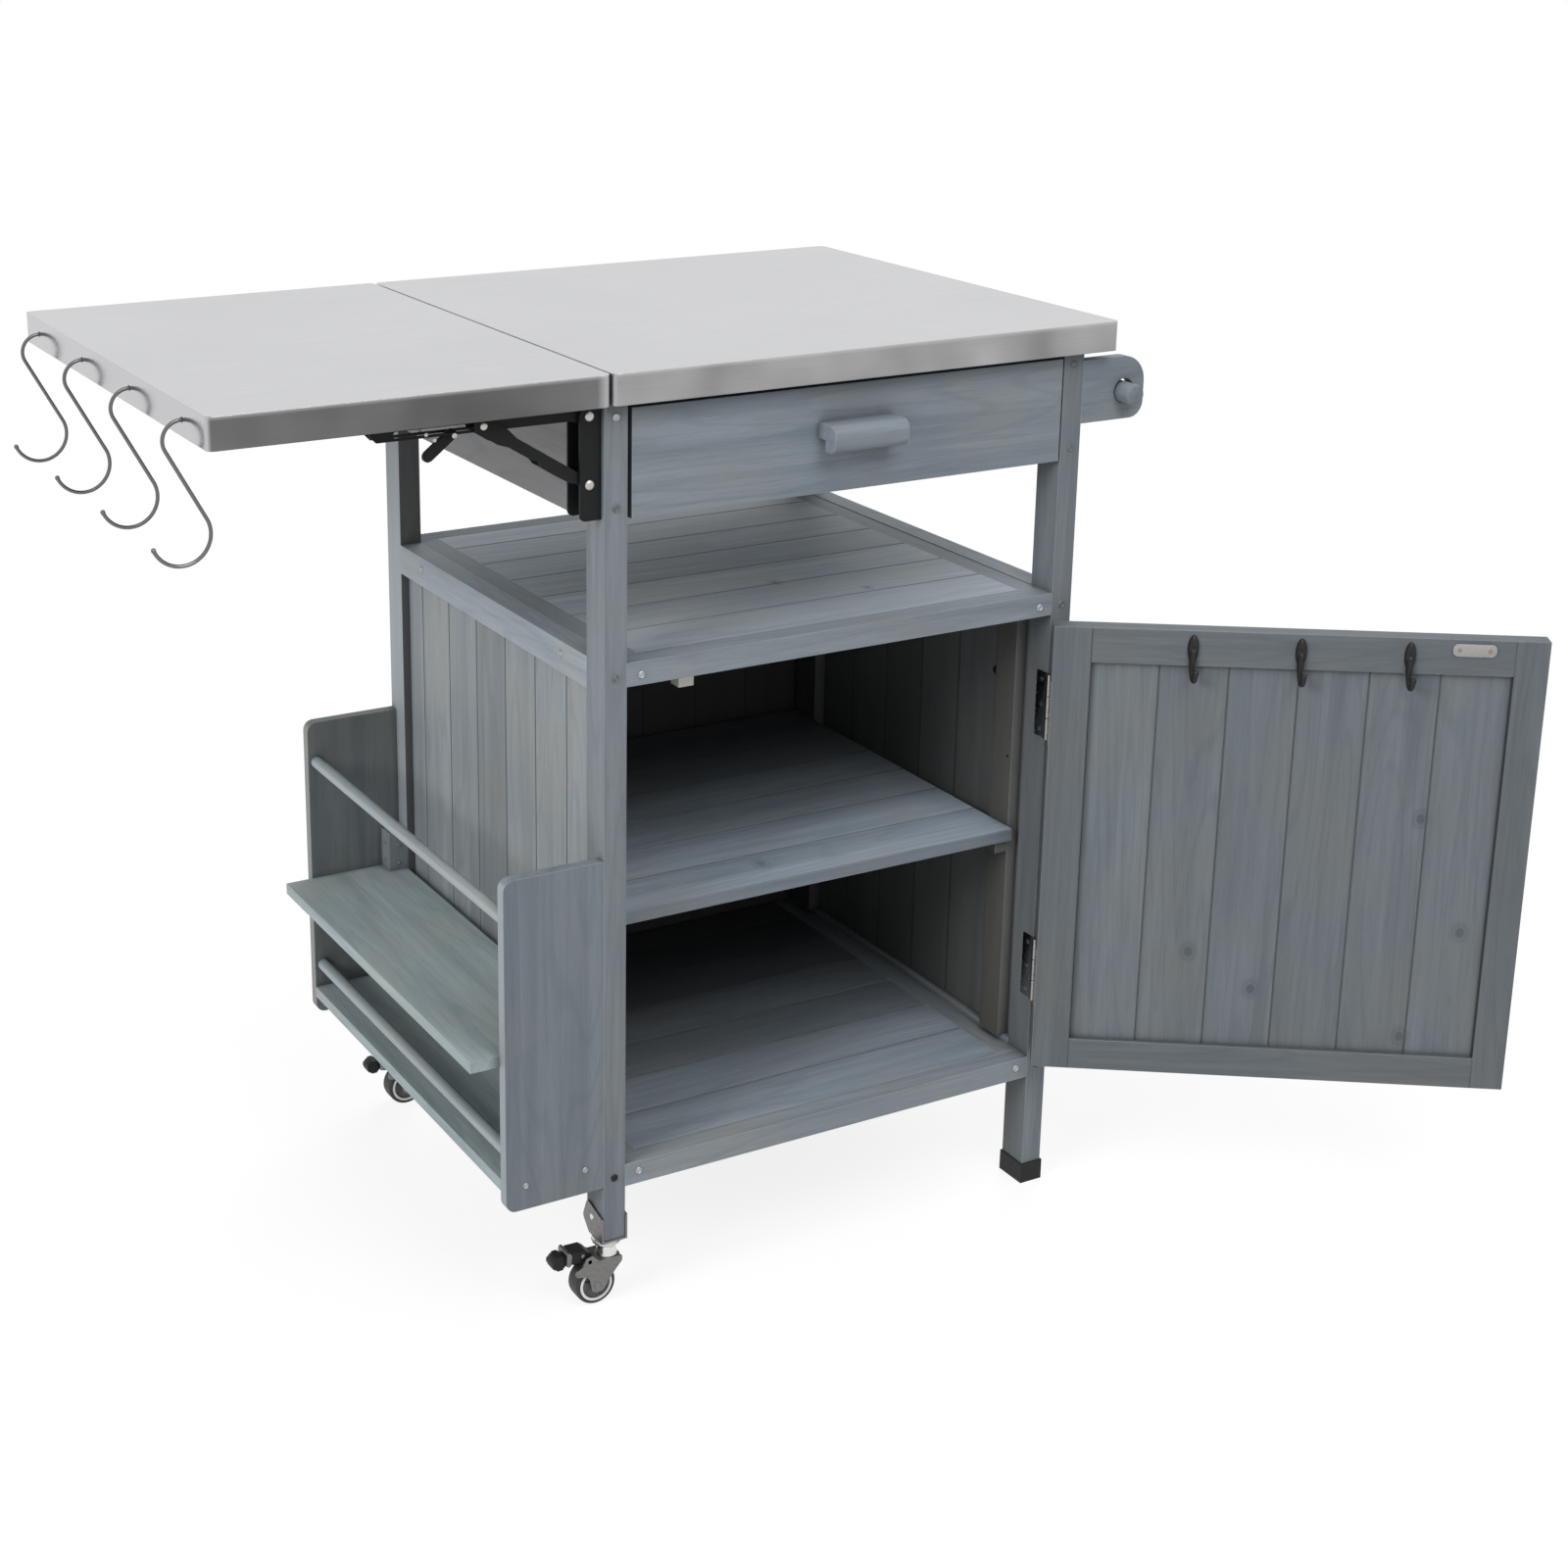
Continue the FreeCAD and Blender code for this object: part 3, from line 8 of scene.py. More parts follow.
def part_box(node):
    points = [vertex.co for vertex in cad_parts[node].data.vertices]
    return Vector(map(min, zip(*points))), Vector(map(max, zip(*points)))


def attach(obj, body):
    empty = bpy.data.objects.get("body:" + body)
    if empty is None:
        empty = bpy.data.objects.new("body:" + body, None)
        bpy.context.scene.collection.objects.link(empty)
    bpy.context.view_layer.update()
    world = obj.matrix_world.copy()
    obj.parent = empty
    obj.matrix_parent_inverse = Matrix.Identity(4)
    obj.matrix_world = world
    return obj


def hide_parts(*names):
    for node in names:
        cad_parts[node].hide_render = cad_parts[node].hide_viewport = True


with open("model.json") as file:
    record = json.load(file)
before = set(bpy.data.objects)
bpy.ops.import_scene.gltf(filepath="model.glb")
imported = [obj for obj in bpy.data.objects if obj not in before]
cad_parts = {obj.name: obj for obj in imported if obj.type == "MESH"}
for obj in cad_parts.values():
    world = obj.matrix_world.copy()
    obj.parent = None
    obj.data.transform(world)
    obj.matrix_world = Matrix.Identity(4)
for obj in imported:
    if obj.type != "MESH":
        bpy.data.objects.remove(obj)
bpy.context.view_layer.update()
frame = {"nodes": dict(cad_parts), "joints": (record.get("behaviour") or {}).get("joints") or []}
nodes = frame["nodes"]
print("frame loaded", len(nodes), "nodes")

# The front left post's lowest corner is where all places below are counted from
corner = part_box("post_front_left")[0]
cornerAt = Vector((corner.x, corner.y, 0))
doorAngle = 145.8  # degrees the door stands open
hinge = next(j for j in frame["joints"] if j["name"] == "door_hinge")
hingeAt = Vector(hinge["pos_m"])


def place(x, y, z):  # millimetres from the post's corner to metres in the frame
    return cornerAt + Vector((x, y, z)) / 1000


# Nodes, made and linked in one call each. They all go into the tree that was begun last
current = {}


def addNode(kind, inputs=None, **settings):
    node = current["tree"].nodes.new("ShaderNode" + kind)
    for name, value in settings.items():
        setattr(node, name, value)
    for key, value in (inputs or {}).items():
        socket = node.inputs[key]
        if isinstance(value, bpy.types.NodeSocket):
            current["tree"].links.new(value, socket)
        else:
            socket.default_value = value
    return node


def startMaterial(name, **sockets):
    material = bpy.data.materials.new(name)
    material.use_nodes = True
    current["tree"] = material.node_tree
    shader = material.node_tree.nodes["Principled BSDF"]
    for key, value in sockets.items():
        shader.inputs[key.replace("_", " ")].default_value = value
    return material, shader


def mathNode(operation, *values):
    return addNode("Math", dict(enumerate(values)), operation=operation).outputs[0]


def vectorNode(operation, *values):
    made = addNode("VectorMath", dict(enumerate(values)), operation=operation)
    return made.outputs["Value" if operation in ("DOT_PRODUCT", "LENGTH") else "Vector"]


def times(a, b):
    return mathNode("MULTIPLY", a, b)


def minus(a, b):
    return mathNode("SUBTRACT", a, b)


def mixColour(factor, a, b, blend="MIX"):
    return addNode("Mix", {0: factor, 6: a, 7: b}, data_type="RGBA", blend_type=blend).outputs[2]


def tintColour(colour, by):
    return mixColour(1.0, colour, by, "MULTIPLY")


def ramp(value, low, high, toLow=0.0, toHigh=1.0):
    return addNode("MapRange", {0: value, 1: low, 2: high, 3: toLow, 4: toHigh}, clamp=True).outputs[0]


def objectPoint(inDoor=False):  # what is on the door is read as if it were closed
    point = addNode("TexCoord").outputs["Object"]
    if inDoor:
        turn = {"Vector": point, "Center": hingeAt, "Angle": math.radians(-doorAngle)}
        point = addNode("VectorRotate", turn, rotation_type="Z_AXIS").outputs[0]
    return point


def mixVector(factor, axes, other):  # one point or the other
    here = addNode("CombineXYZ", {0: axes[0], 1: axes[1], 2: axes[2]}).outputs[0]
    away = vectorNode("SUBTRACT", other, here)
    step = addNode("VectorMath", {0: away, "Scale": factor}, operation="SCALE").outputs[0]
    return vectorNode("ADD", here, step)


def splitPoint(point):
    return addNode("SeparateXYZ", {0: point}).outputs


def noise(point, scale, detail, roughness=0.5, distortion=0.0):
    return addNode("TexNoise", {"Vector": point, "Scale": scale, "Detail": detail, "Roughness": roughness,
                                "Distortion": distortion}).outputs[0]


def stretched(point, grain, by):  # drawn out along the grain
    scale = [1.0, 1.0, 1.0]
    scale["XYZ".index(grain)] = by
    return addNode("Mapping", {"Vector": point, "Scale": scale}).outputs[0]


def softEdges(radius):  # rounds the edges in the shading
    return addNode("Bevel", {"Radius": radius}, samples=4).outputs[0]


def dress(shader, colour, roughness, height, normal, strength, depth):
    bump = addNode("Bump", {"Strength": strength, "Distance": depth, "Height": height, "Normal": normal})
    for value, key in ((colour, "Base Color"), (roughness, "Roughness"), (bump.outputs[0], "Normal")):
        current["tree"].links.new(value, shader.inputs[key])


# Grey-stained fir
wood = {
    "dark": (0.098, 0.118, 0.138, 1), "mid": (0.172, 0.198, 0.221, 1), "light": (0.245, 0.272, 0.293, 1),
    "joint": (0.030, 0.034, 0.038, 1), "warm": (0.200, 0.198, 0.182, 1), "wearAndHighlight": (0.37, 0.40, 0.42, 1),
    "litFace": (0.31, 0.335, 0.35, 1), "shade": (0.046, 0.043, 0.038, 1),
    "roughness": (0.55, 0.72),
    "edge": 0.0011,
    "bump": (0.35, 0.0004),  # strength and depth
    # painted shade: creases and gaps between parts, where little open sky is seen, are darkened towards the
    # joint colour
    "creaseShadeReach": 0.012,
    "grimeAndShade": (0.25, 0.85, 0.72, 0.0),  # between these two shares of open sky, the amount
    # scale, detail, roughness and distortion of each noise, and how far the grain is drawn out
    "broad": (55.0, 5.0, 0.6, 0.6),
    "fine": (620.0, 4.0, 0.65),
    "blot": (9.0, 3.0, 0.55),
    "rings": (16.0, 1.0),
    "fibreLength": 0.045, "ringLength": 0.09, "ringCount": 95.0,
    "base": (0.34, 0.68), "evenness": 0.55,
    # laid over that: which noise, from and to, amount, colour
    "layers": (("blot", 0.45, 0.75, 0.55, "warm"), ("rings", 0.55, 1.0, 0.20, "dark"),
               ("fine", 0.52, 0.80, 0.52, "dark"), ("fine", 0.42, 0.20, 0.35, "light")),
    "depths": (-0.6, -0.5, 2.0),  # of fine grain, broad grain and joints
    "railJoint": (0.0003, 0.0009),  # metres from the joint, dark and clear
    "boardJoint": (0.7, 1.5),  # the same in millimetres
    "knotRings": 3200.0, "knotTone": 0.6,
    "halo": (2.6, 0.35),  # radii and amount
    "rim": (1.35, 1.5, 1.6, 1.85, 0.15),  # radii where it comes and goes, and amount
    "facing": (0.7, 0.9),  # cosine to the way of a tinted face
    "litFaceAmount": 0.45, "wearAndHighlightAmount": 0.55, "deepest": 0.8,
    "wearAndHighlightBend": (0.985, 0.80),  # cosine of an edge's bend, where wear and painted highlight begin and are full
}
cartWidth, cartDepth = 494.0, 464.0  # over the posts


# grain is the axis that the fibres follow. boards is (axis, start, first width, pitch) of planks side by side,
# each with a tone and grain of its own. rails is where a door rail begins and ends. inside is the way of faces
# that look into the cabinet, painted with shade, gloom how dark that painted shade is and below up to what
# height.
# pale is the way of faces painted lighter, a painted light. deep is where boards get painted shade towards the
# back.
# behind is the painted shade tint of the cart's rear half. knots are (across, up, radius) in the plane of the
# two axes that knotPlane names. Places are in millimetres
def stainedWood(name, grain, boards=None, inDoor=False, tone=1.0, spread=0.13, knots=(), seed=0.0, joint=0.85,
                inside=None, pale=None, tint=(1, 1, 1), below=None, rails=None, knotPlane=(0, 2), gloom=0.75,
                deep=None, behind=None):
    material, shader = startMaterial(name, Specular_IOR_Level=0.35)
    local = vectorNode("SUBTRACT", objectPoint(inDoor), cornerAt)
    axes = splitPoint(local)
    number = seed
    jointMask = 0.0
    if rails:  # between these two places the wood runs across, and a thin joint shows at each
        first, last = rails[0] / 1000, rails[1] / 1000
        middle, half = (first + last) / 2, (last - first) / 2
        aside = mathNode("ABSOLUTE", minus(axes[0], middle))
        across = mathNode("LESS_THAN", aside, half)
        crossed = addNode("CombineXYZ", {0: axes[2], 1: axes[1], 2: axes[0]}).outputs[0]
        local = mixVector(across, axes, crossed)
        number = mathNode("MULTIPLY_ADD", across, 5.0, seed)
        jointMask = ramp(mathNode("ABSOLUTE", minus(aside, half)), *wood["railJoint"], 1.0, 0.0)
    if boards:
        axis, first, firstWidth, pitch = boards
        along = times(axes["XYZ".index(axis)], 1000.0)
        start = first + firstWidth - pitch
        cell = mathNode("DIVIDE", minus(along, start), pitch)
        number = mathNode("ADD", mathNode("FLOOR", cell), seed + 0.5)
        dark, clear = wood["boardJoint"]
        jointMask = ramp(mathNode("PINGPONG", cell, 0.5), dark / pitch, clear / pitch, 1.0, 0.0)
    board = addNode("TexWhiteNoise", {"W": number}, noise_dimensions="1D").outputs
    moved = vectorNode("ADD", local, vectorNode("MULTIPLY", board["Color"], (3.0, 3.0, 3.0)))
    fibre = stretched(moved, grain, wood["fibreLength"])
    broad = noise(fibre, *wood["broad"])
    fine = noise(fibre, *wood["fine"])
    rings = noise(stretched(moved, grain, wood["ringLength"]), *wood["rings"])
    rings = mathNode("SINE", times(rings, wood["ringCount"]))
    patterns = {"fine": fine, "blot": noise(moved, *wood["blot"]), "rings": rings}
    colour = mixColour(ramp(broad, *wood["base"]), wood["dark"], wood["light"])
    colour = mixColour(wood["evenness"], colour, wood["mid"])
    for pattern, low, high, amount, key in wood["layers"]:
        colour = mixColour(ramp(patterns[pattern], low, high, 0.0, amount), colour, wood[key])
    fineDepth, broadDepth, jointDepth = wood["depths"]
    height = mathNode("ADD", times(fine, fineDepth), times(broad, broadDepth))
    haloEnd, haloAmount = wood["halo"]
    for across, up, radius in knots:  # each knot is an ellipse of dark rings with a halo and a rim
        radius = radius / 1000
        aside = minus(axes[knotPlane[0]], across / 1000)
        above = times(minus(axes[knotPlane[1]], up / 1000), 0.8)
        far = mathNode("SQRT", mathNode("ADD", times(aside, aside), times(above, above)))
        inKnot = ramp(far, radius * 0.75, radius, 1.0, 0.0)
        swirl = mathNode("SINE", times(far, wood["knotRings"]))
        knot = mixColour(ramp(swirl, -1.0, 1.0, 0.1, 0.6), wood["dark"], wood["joint"])
        halo = ramp(far, radius, radius * haloEnd, haloAmount, 0.0)
        colour = mixColour(halo, colour, wood["dark"])
        colour = mixColour(times(inKnot, wood["knotTone"]), colour, knot)
        near, full, fading, gone, amount = wood["rim"]
        rim = times(ramp(far, radius * near, radius * full),
                    ramp(far, radius * fading, radius * gone, 1.0, 0.0))
        colour = mixColour(times(rim, amount), colour, wood["joint"])
    brightness = ramp(board["Value"], 0.0, 1.0, (1 - spread) * tone, (1 + spread) * tone)
    toned = addNode("CombineColor", {0: brightness, 1: brightness, 2: brightness}).outputs[0]
    colour = tintColour(colour, toned)
    if tint != (1, 1, 1):
        colour = tintColour(colour, (*tint, 1))
    if boards or rails:
        colour = mixColour(times(jointMask, joint), colour, wood["joint"])
        height = minus(height, times(jointMask, jointDepth))
    rounded = softEdges(wood["edge"])
    geometry = addNode("NewGeometry")
    bend = vectorNode("DOT_PRODUCT", rounded, geometry.outputs["Normal"])
    # edges are painted lighter: partly wear, partly a painted highlight
    wearAndHighlight = ramp(bend, *wood["wearAndHighlightBend"], 0.0, wood["wearAndHighlightAmount"])
    colour = mixColour(wearAndHighlight, colour, wood["wearAndHighlight"])
    # painted shade on faces that look into the cabinet, painted light on the faces that pale names
    for way, other, amount in ((inside, wood["shade"], gloom), (pale, wood["litFace"], wood["litFaceAmount"])):
        if way:
            turned = vectorNode("DOT_PRODUCT", geometry.outputs["True Normal"], way)
            if way == inside and way[0]:  # left and right walls look at each other
                half = mathNode("SIGN", minus(axes[0], cartWidth / 2000))
                turned = times(turned, half)
            if way == inside and below:  # posts get painted shade only along the cabinet
                turned = times(turned, mathNode("LESS_THAN", axes[2], below / 1000))
            colour = mixColour(ramp(turned, *wood["facing"], 0.0, amount), colour, other)
    # painted shade: the boards are darkened towards the back of the cabinet
    if deep:
        dimmed = ramp(axes[1], deep[0] / 1000, deep[1] / 1000, 0.0, wood["deepest"])
        colour = mixColour(dimmed, colour, wood["shade"])
    # painted shade: the rear half is tinted darker
    if behind:
        rear = mathNode("GREATER_THAN", axes[1], cartDepth / 2000)
        colour = mixColour(rear, colour, tintColour(colour, (*behind, 1)))
    # painted shade: creases and gaps between parts are darkened towards the joint colour
    corners = addNode("AmbientOcclusion", {"Distance": wood["creaseShadeReach"]}, samples=6).outputs["AO"]
    colour = mixColour(ramp(corners, *wood["grimeAndShade"]), colour, wood["joint"])
    dress(shader, colour, ramp(broad, 0.3, 0.7, *wood["roughness"]), height, rounded, *wood["bump"])
    return material


# Brushed stainless sheet, brushed along the grain axis
steel = {
    "bright": (0.63, 0.632, 0.65, 1),
    "dull": (0.52, 0.524, 0.54, 1),
    "lowFront": (0.78, 0.76, 0.73),  # the front's patches go from this to the next
    "highFront": (1.45, 1.44, 1.42),
    "polished": (0.86, 0.86, 0.865, 1),  # the leaf's end is multiplied by this
    "roughness": (0.27, 0.42),
    "lineLength": 0.012,
    "hair": (900.0, 4.0, 0.7),  # scale, detail and roughness of the noises
    "cloud": (5.0, 3.0),
    "patch": (9.0, 2.0),
    "edge": 0.0014,
    "bump": (0.06, 0.0002),
    "bend": (0.8665, 0.8697),  # metres up, where the front turns into the top
}


def brushedSteel(name, grain, frontReflection=1.0, mirrorSide=False, glint=None):
    material, shader = startMaterial(name, Metallic=1.0)
    point = objectPoint()
    hair = noise(stretched(point, grain, steel["lineLength"]), *steel["hair"])
    cloud = noise(point, *steel["cloud"])
    colour = mixColour(hair, steel["bright"], steel["dull"])
    colour = mixColour(ramp(cloud, 0.4, 0.7, 0.0, 0.35), colour, steel["dull"])
    # painted reflection: faces that look to the front are tinted darker in patches; above the bend the painted
    # reflection is halved, a painted highlight
    if frontReflection != 1.0:
        normal = splitPoint(addNode("NewGeometry").outputs["Normal"])
        facing = ramp(normal[1], -0.9, -0.5, 1.0, 0.0)
        low, high = ((*(frontReflection * part for part in steel[key]), 1) for key in ("lowFront", "highFront"))
        patches = mixColour(ramp(noise(point, *steel["patch"]), 0.35, 0.70), low, high)
        facing = times(facing, ramp(splitPoint(point)[2], *steel["bend"], 1.0, 0.5))
        if glint:  # painted highlight: the sheet's end, bent round, is painted lighter towards it, with a painted glint at its very end
            along = minus(splitPoint(point)[0], cornerAt.x + glint / 1000)
            facing = times(facing, ramp(along, -0.16, -0.02, 1.0, 0.90))
            facing = times(facing, ramp(along, -0.010, 0.0, 1.0, 0.25))
        colour = mixColour(facing, colour, tintColour(colour, patches))
    rounded = softEdges(steel["edge"])
    rough = ramp(hair, 0.25, 0.75, *steel["roughness"])
    if mirrorSide:  # the leaf's end is polished and mirrors the hooks
        sideways = splitPoint(addNode("NewGeometry").outputs["Normal"])[0]
        polished = ramp(sideways, -0.95, -0.7, 1.0, 0.0)
        rough = times(rough, ramp(polished, 0.0, 1.0, 1.0, 0.42))
        colour = mixColour(polished, colour, tintColour(colour, steel["polished"]))
    dress(shader, colour, rough, hair, rounded, *steel["bump"])
    return material


metalGrain = {"spots": (260.0, 4.0, 0.7), "edge": 0.0004, "bump": (0.12, 0.0001)}


def plainMetal(name, colour, roughness, metallic=1.0, speckle=0.25, grimeAndShade=(0.12, 0.11, 0.10, 1), gloss=0.5):
    material, shader = startMaterial(name, Metallic=metallic, Specular_IOR_Level=gloss)
    spots = noise(objectPoint(), *metalGrain["spots"])
    mixed = mixColour(ramp(spots, 0.48, 0.75, 0.0, speckle), colour, grimeAndShade)
    rough = ramp(spots, 0.3, 0.7, roughness - 0.06, roughness + 0.10)
    dress(shader, mixed, rough, spots, softEdges(metalGrain["edge"]), *metalGrain["bump"])
    return material


# Each caster wheel: black tyre, a pale rim ring and a dark hub, told apart by their distance from the axle
wheelColours = {
    "tyre": (0.012, 0.012, 0.013, 1),
    "dust": (0.045, 0.043, 0.040, 1),
    "ring": (0.62, 0.62, 0.62, 1),
    "hub": (0.075, 0.078, 0.082, 1),
    "roughness": (0.45, 0.65),
    "ringAt": (0.0137, 0.0163),  # metres from the axle
    "hubEnd": 0.0135,
    "blur": 0.0001,
    "spots": (300.0, 3.0),
    "edge": 0.0008,
    "bump": (0.2, 0.0002),
}


def wheelFinish(name, centre):
    material, shader = startMaterial(name)
    point = vectorNode("SUBTRACT", objectPoint(), centre)
    axes = splitPoint(point)
    flat = addNode("CombineXYZ", {0: axes[0], 2: axes[2]}).outputs[0]
    radius = vectorNode("LENGTH", flat)
    spots = noise(point, *wheelColours["spots"])
    tyre = mixColour(ramp(spots, 0.4, 0.8, 0.0, 0.5), wheelColours["tyre"], wheelColours["dust"])
    blur = wheelColours["blur"]
    inner, outer = wheelColours["ringAt"]
    onRing = times(ramp(radius, inner - blur, inner + blur),
                   ramp(radius, outer - blur, outer + blur, 1.0, 0.0))
    colour = mixColour(onRing, tyre, wheelColours["ring"])
    hubEnd = wheelColours["hubEnd"]
    inHub = ramp(radius, hubEnd - blur, hubEnd + blur, 1.0, 0.0)
    colour = mixColour(inHub, colour, wheelColours["hub"])
    rough = ramp(spots, 0.3, 0.7, *wheelColours["roughness"])
    dress(shader, colour, rough, spots, softEdges(wheelColours["edge"]), *wheelColours["bump"])
    return material


def paint(material, *names):
    for name in names:
        mesh = nodes[name].data
        mesh.materials.clear()
        mesh.materials.append(material)


# What runs which way
woodRuns = {
    "Z": ("post_front_left", "post_rear_left", "post_front_right", "post_rear_right", "rack_end_boards",
          "inner_uprights", "rack_blocks"),
    "Y": ("side_aprons", "drawer_runners", "shelf_battens", "floor_battens", "side_rails", "mid_shelf_cleats",
          "rack_shelves", "rack_dowels", "towel_rod"),
    "X": ("rear_apron", "shelf_rails", "floor_rails", "drawer_front", "drawer_handle", "towel_brackets",
          "leaf_battens", "worktop_core"),
}
# Tones and tints of single parts. Those of the inner uprights and cleats, far below 1, are painted shade
woodTones = {
    "rack_shelves": (1.24, (0.99, 1.03, 0.96)),
    "rack_end_boards": (0.84, (0.97, 1.0, 1.04)),
    "rack_dowels": (1.05, (1.0, 1.02, 0.97)),
    "side_aprons": (0.95, (1.13, 1.0, 0.92)),
    "inner_uprights": (0.62, (1.15, 1.03, 0.88)),
    "mid_shelf_cleats": (0.62, (1.15, 1.03, 0.88)),
    "towel_brackets": (0.85, (0.96, 1.0, 1.05)),
    "drawer_front": (0.84, (0.97, 1.0, 1.03)),
    "drawer_handle": (1.0, (0.98, 1.0, 1.02)),
    "side_rails": (1.22, (1.0, 1.0, 1.0)),
    "shelf_rails": (1.0, (0.98, 1.0, 1.02)),
}
left, front = (-1, 0, 0), (0, -1, 0)  # the way a face looks
# faces that look left on these parts are painted lighter, a painted light
litLeftFaces = ("rack_end_boards", "rack_dowels", "post_front_left", "post_rear_left")
for grain, names in woodRuns.items():
    for i, name in enumerate(names):
        isPost = name.startswith("post")
        inside = left if isPost or name in ("inner_uprights", "mid_shelf_cleats") else None
        below = 600 if isPost else None
        gloom = 0.42 if isPost else 0.75
        if name == "post_rear_left":  # its front face stands in the worktop's shade
            inside, below, gloom = front, None, 0.75
        tone, tint = woodTones.get(name, (0.76 if isPost else 0.95, (1, 1, 1)))
        finish = stainedWood("wood_" + name, grain, seed=i + 7.0 * "XYZ".index(grain), tone=tone, tint=tint,
                             pale=left if name in litLeftFaces else None, inside=inside, below=below, gloom=gloom,
                             behind=(0.85, 0.80, 0.72) if name == "rack_end_boards" else None)
        paint(finish, name)

doorKnots = [(470.5 - a, z, 4.5) for a, z in ((347, 413), (393, 300), (347, 190), (143, 268), (204, 232))]
# The high tones of the shelf boards and the mid shelf are painted light, brighter than the wood's own tone
boardedWood = {
    "side_planks": {"grain": "Z", "boards": ("Y", 32, 54, 62.5), "inside": left, "gloom": 0.64, "tone": 0.93,
                    "tint": (1.01, 0.985, 0.94)},
    "back_planks": {"grain": "Z", "boards": ("X", 22, 64.29, 64.29), "seed": 4.0, "inside": front,
                    "gloom": 0.86},
    "shelf_boards": {"grain": "X", "boards": ("Y", 22, 62.5, 62.5), "seed": 9.0, "tone": 1.5, "joint": 0.6,
                     "knots": ((262, 150, 4.0), (330, 96, 3.2)), "knotPlane": (0, 1)},
    "floor_boards": {"grain": "X", "boards": ("Y", 20, 62.5, 62.5), "seed": 15.0, "tone": 1.12,
                     "tint": (0.97, 1.0, 1.04), "joint": 0.6, "deep": (90, 400)},
    "mid_shelf_boards": {"grain": "X", "boards": ("Y", 34, 62.5, 62.5), "seed": 21.0, "tone": 1.68,
                         "tint": (0.96, 1.0, 1.05), "joint": 0.6, "knots": ((205, 74, 5.0),),
                         "knotPlane": (0, 1), "deep": (110, 380)},
    "door_planks": {"grain": "Z", "boards": ("X", 54.5, 63.5, 63.5), "inDoor": True, "seed": 33.0,
                    "tone": 0.565, "tint": (0.99, 1.0, 1.01), "spread": 0.06, "knots": doorKnots},
    "door_frame": {"grain": "Z", "inDoor": True, "seed": 41.0, "tone": 0.515, "rails": (54.5, 435.5)},
    "door_handle": {"grain": "Z", "inDoor": True, "seed": 43.0},
}
paint(stainedWood("wood_drawer_box", "Y", seed=3.0), "drawer_box", "drawer_bottom")
for node, settings in boardedWood.items():
    name = "wood_mid_shelf" if node == "mid_shelf_boards" else "wood_" + node
    paint(stainedWood(name, **settings), node)

paint(brushedSteel("steel_worktop", "X", frontReflection=0.52), "worktop_shell")
paint(brushedSteel("steel_leaf", "X", frontReflection=0.20, mirrorSide=True, glint=-4.0), "leaf_shell")
print("materials done")


# Shapes are drawn in millimetres from the post's corner, with the door closed
def closedShape(shape, rings, closed):
    for lower, upper in zip(rings, rings[1:] + (rings[:1] if closed else [])):
        sides = max(len(lower), len(upper))
        for i in range(sides):
            j = (i + 1) % sides
            corners = [lower[i % len(lower)], lower[j % len(lower)]]
            corners += [upper[j % len(upper)], upper[i % len(upper)]]
            corners = list(dict.fromkeys(corners))
            if len(corners) > 2:
                shape.faces.new(corners)


# (radius, height) pairs turned round an axis
def spun(shape, profile, at, along, sides=32, closed=False, squeeze=(1, 1)):
    turn = Vector(along).to_track_quat("Z", "Y").to_matrix()
    rings = []
    for radius, height in profile:
        steps = sides if radius else 1
        ring = []
        for i in range(steps):
            angle = 2 * math.pi * (i + 0.5) / steps
            u, v = radius * math.cos(angle) * squeeze[0], radius * math.sin(angle) * squeeze[1]
            ring.append(shape.verts.new(Vector(at) + turn @ Vector((u, v, height))))
        rings.append(ring)
    closedShape(shape, rings, closed)


def rounded(corners, radii, steps=6):  # an outline with rounded corners
    points = []
    for i, (corner, radius) in enumerate(zip(corners, radii)):
        here = Vector(corner)
        if not radius:
            points.append(here)
            continue
        back = (Vector(corners[i - 1]) - here).normalized()
        ahead = (Vector(corners[(i + 1) % len(corners)]) - here).normalized()
        half = back.angle(ahead) / 2
        centre = here + (back + ahead).normalized() * radius / math.sin(half)
        start = here + back * radius / math.tan(half) - centre
        end = here + ahead * radius / math.tan(half) - centre
        for k in range(steps + 1):
            points.append(centre + start.lerp(end, k / steps).normalized() * radius)
    return points


def rectangle(near, foot, far, top):
    return [(near, foot), (far, foot), (far, top), (near, top)]


def slab(shape, outline, low, high, plane="XZ", ease=0.3):  # an outline given a thickness and eased edges
    order = {"XZ": (0, 2, 1), "YZ": (1, 2, 0), "XY": (0, 1, 2)}[plane]
    layers = []
    for level in (low, high):
        layer = []
        for u, v in outline:
            spot = [0, 0, 0]
            for axis, value in zip(order, (u, v, level)):
                spot[axis] = value
            layer.append(shape.verts.new(spot))
        layers.append(layer)
    faces = [shape.faces.new(layers[0]), shape.faces.new(layers[1])]
    closedShape(shape, layers, False)
    rim = [edge for face in faces for edge in face.edges]
    bmesh.ops.bevel(shape, geom=rim, offset=ease, segments=2, profile=0.5, affect="EDGES", clamp_overlap=True)


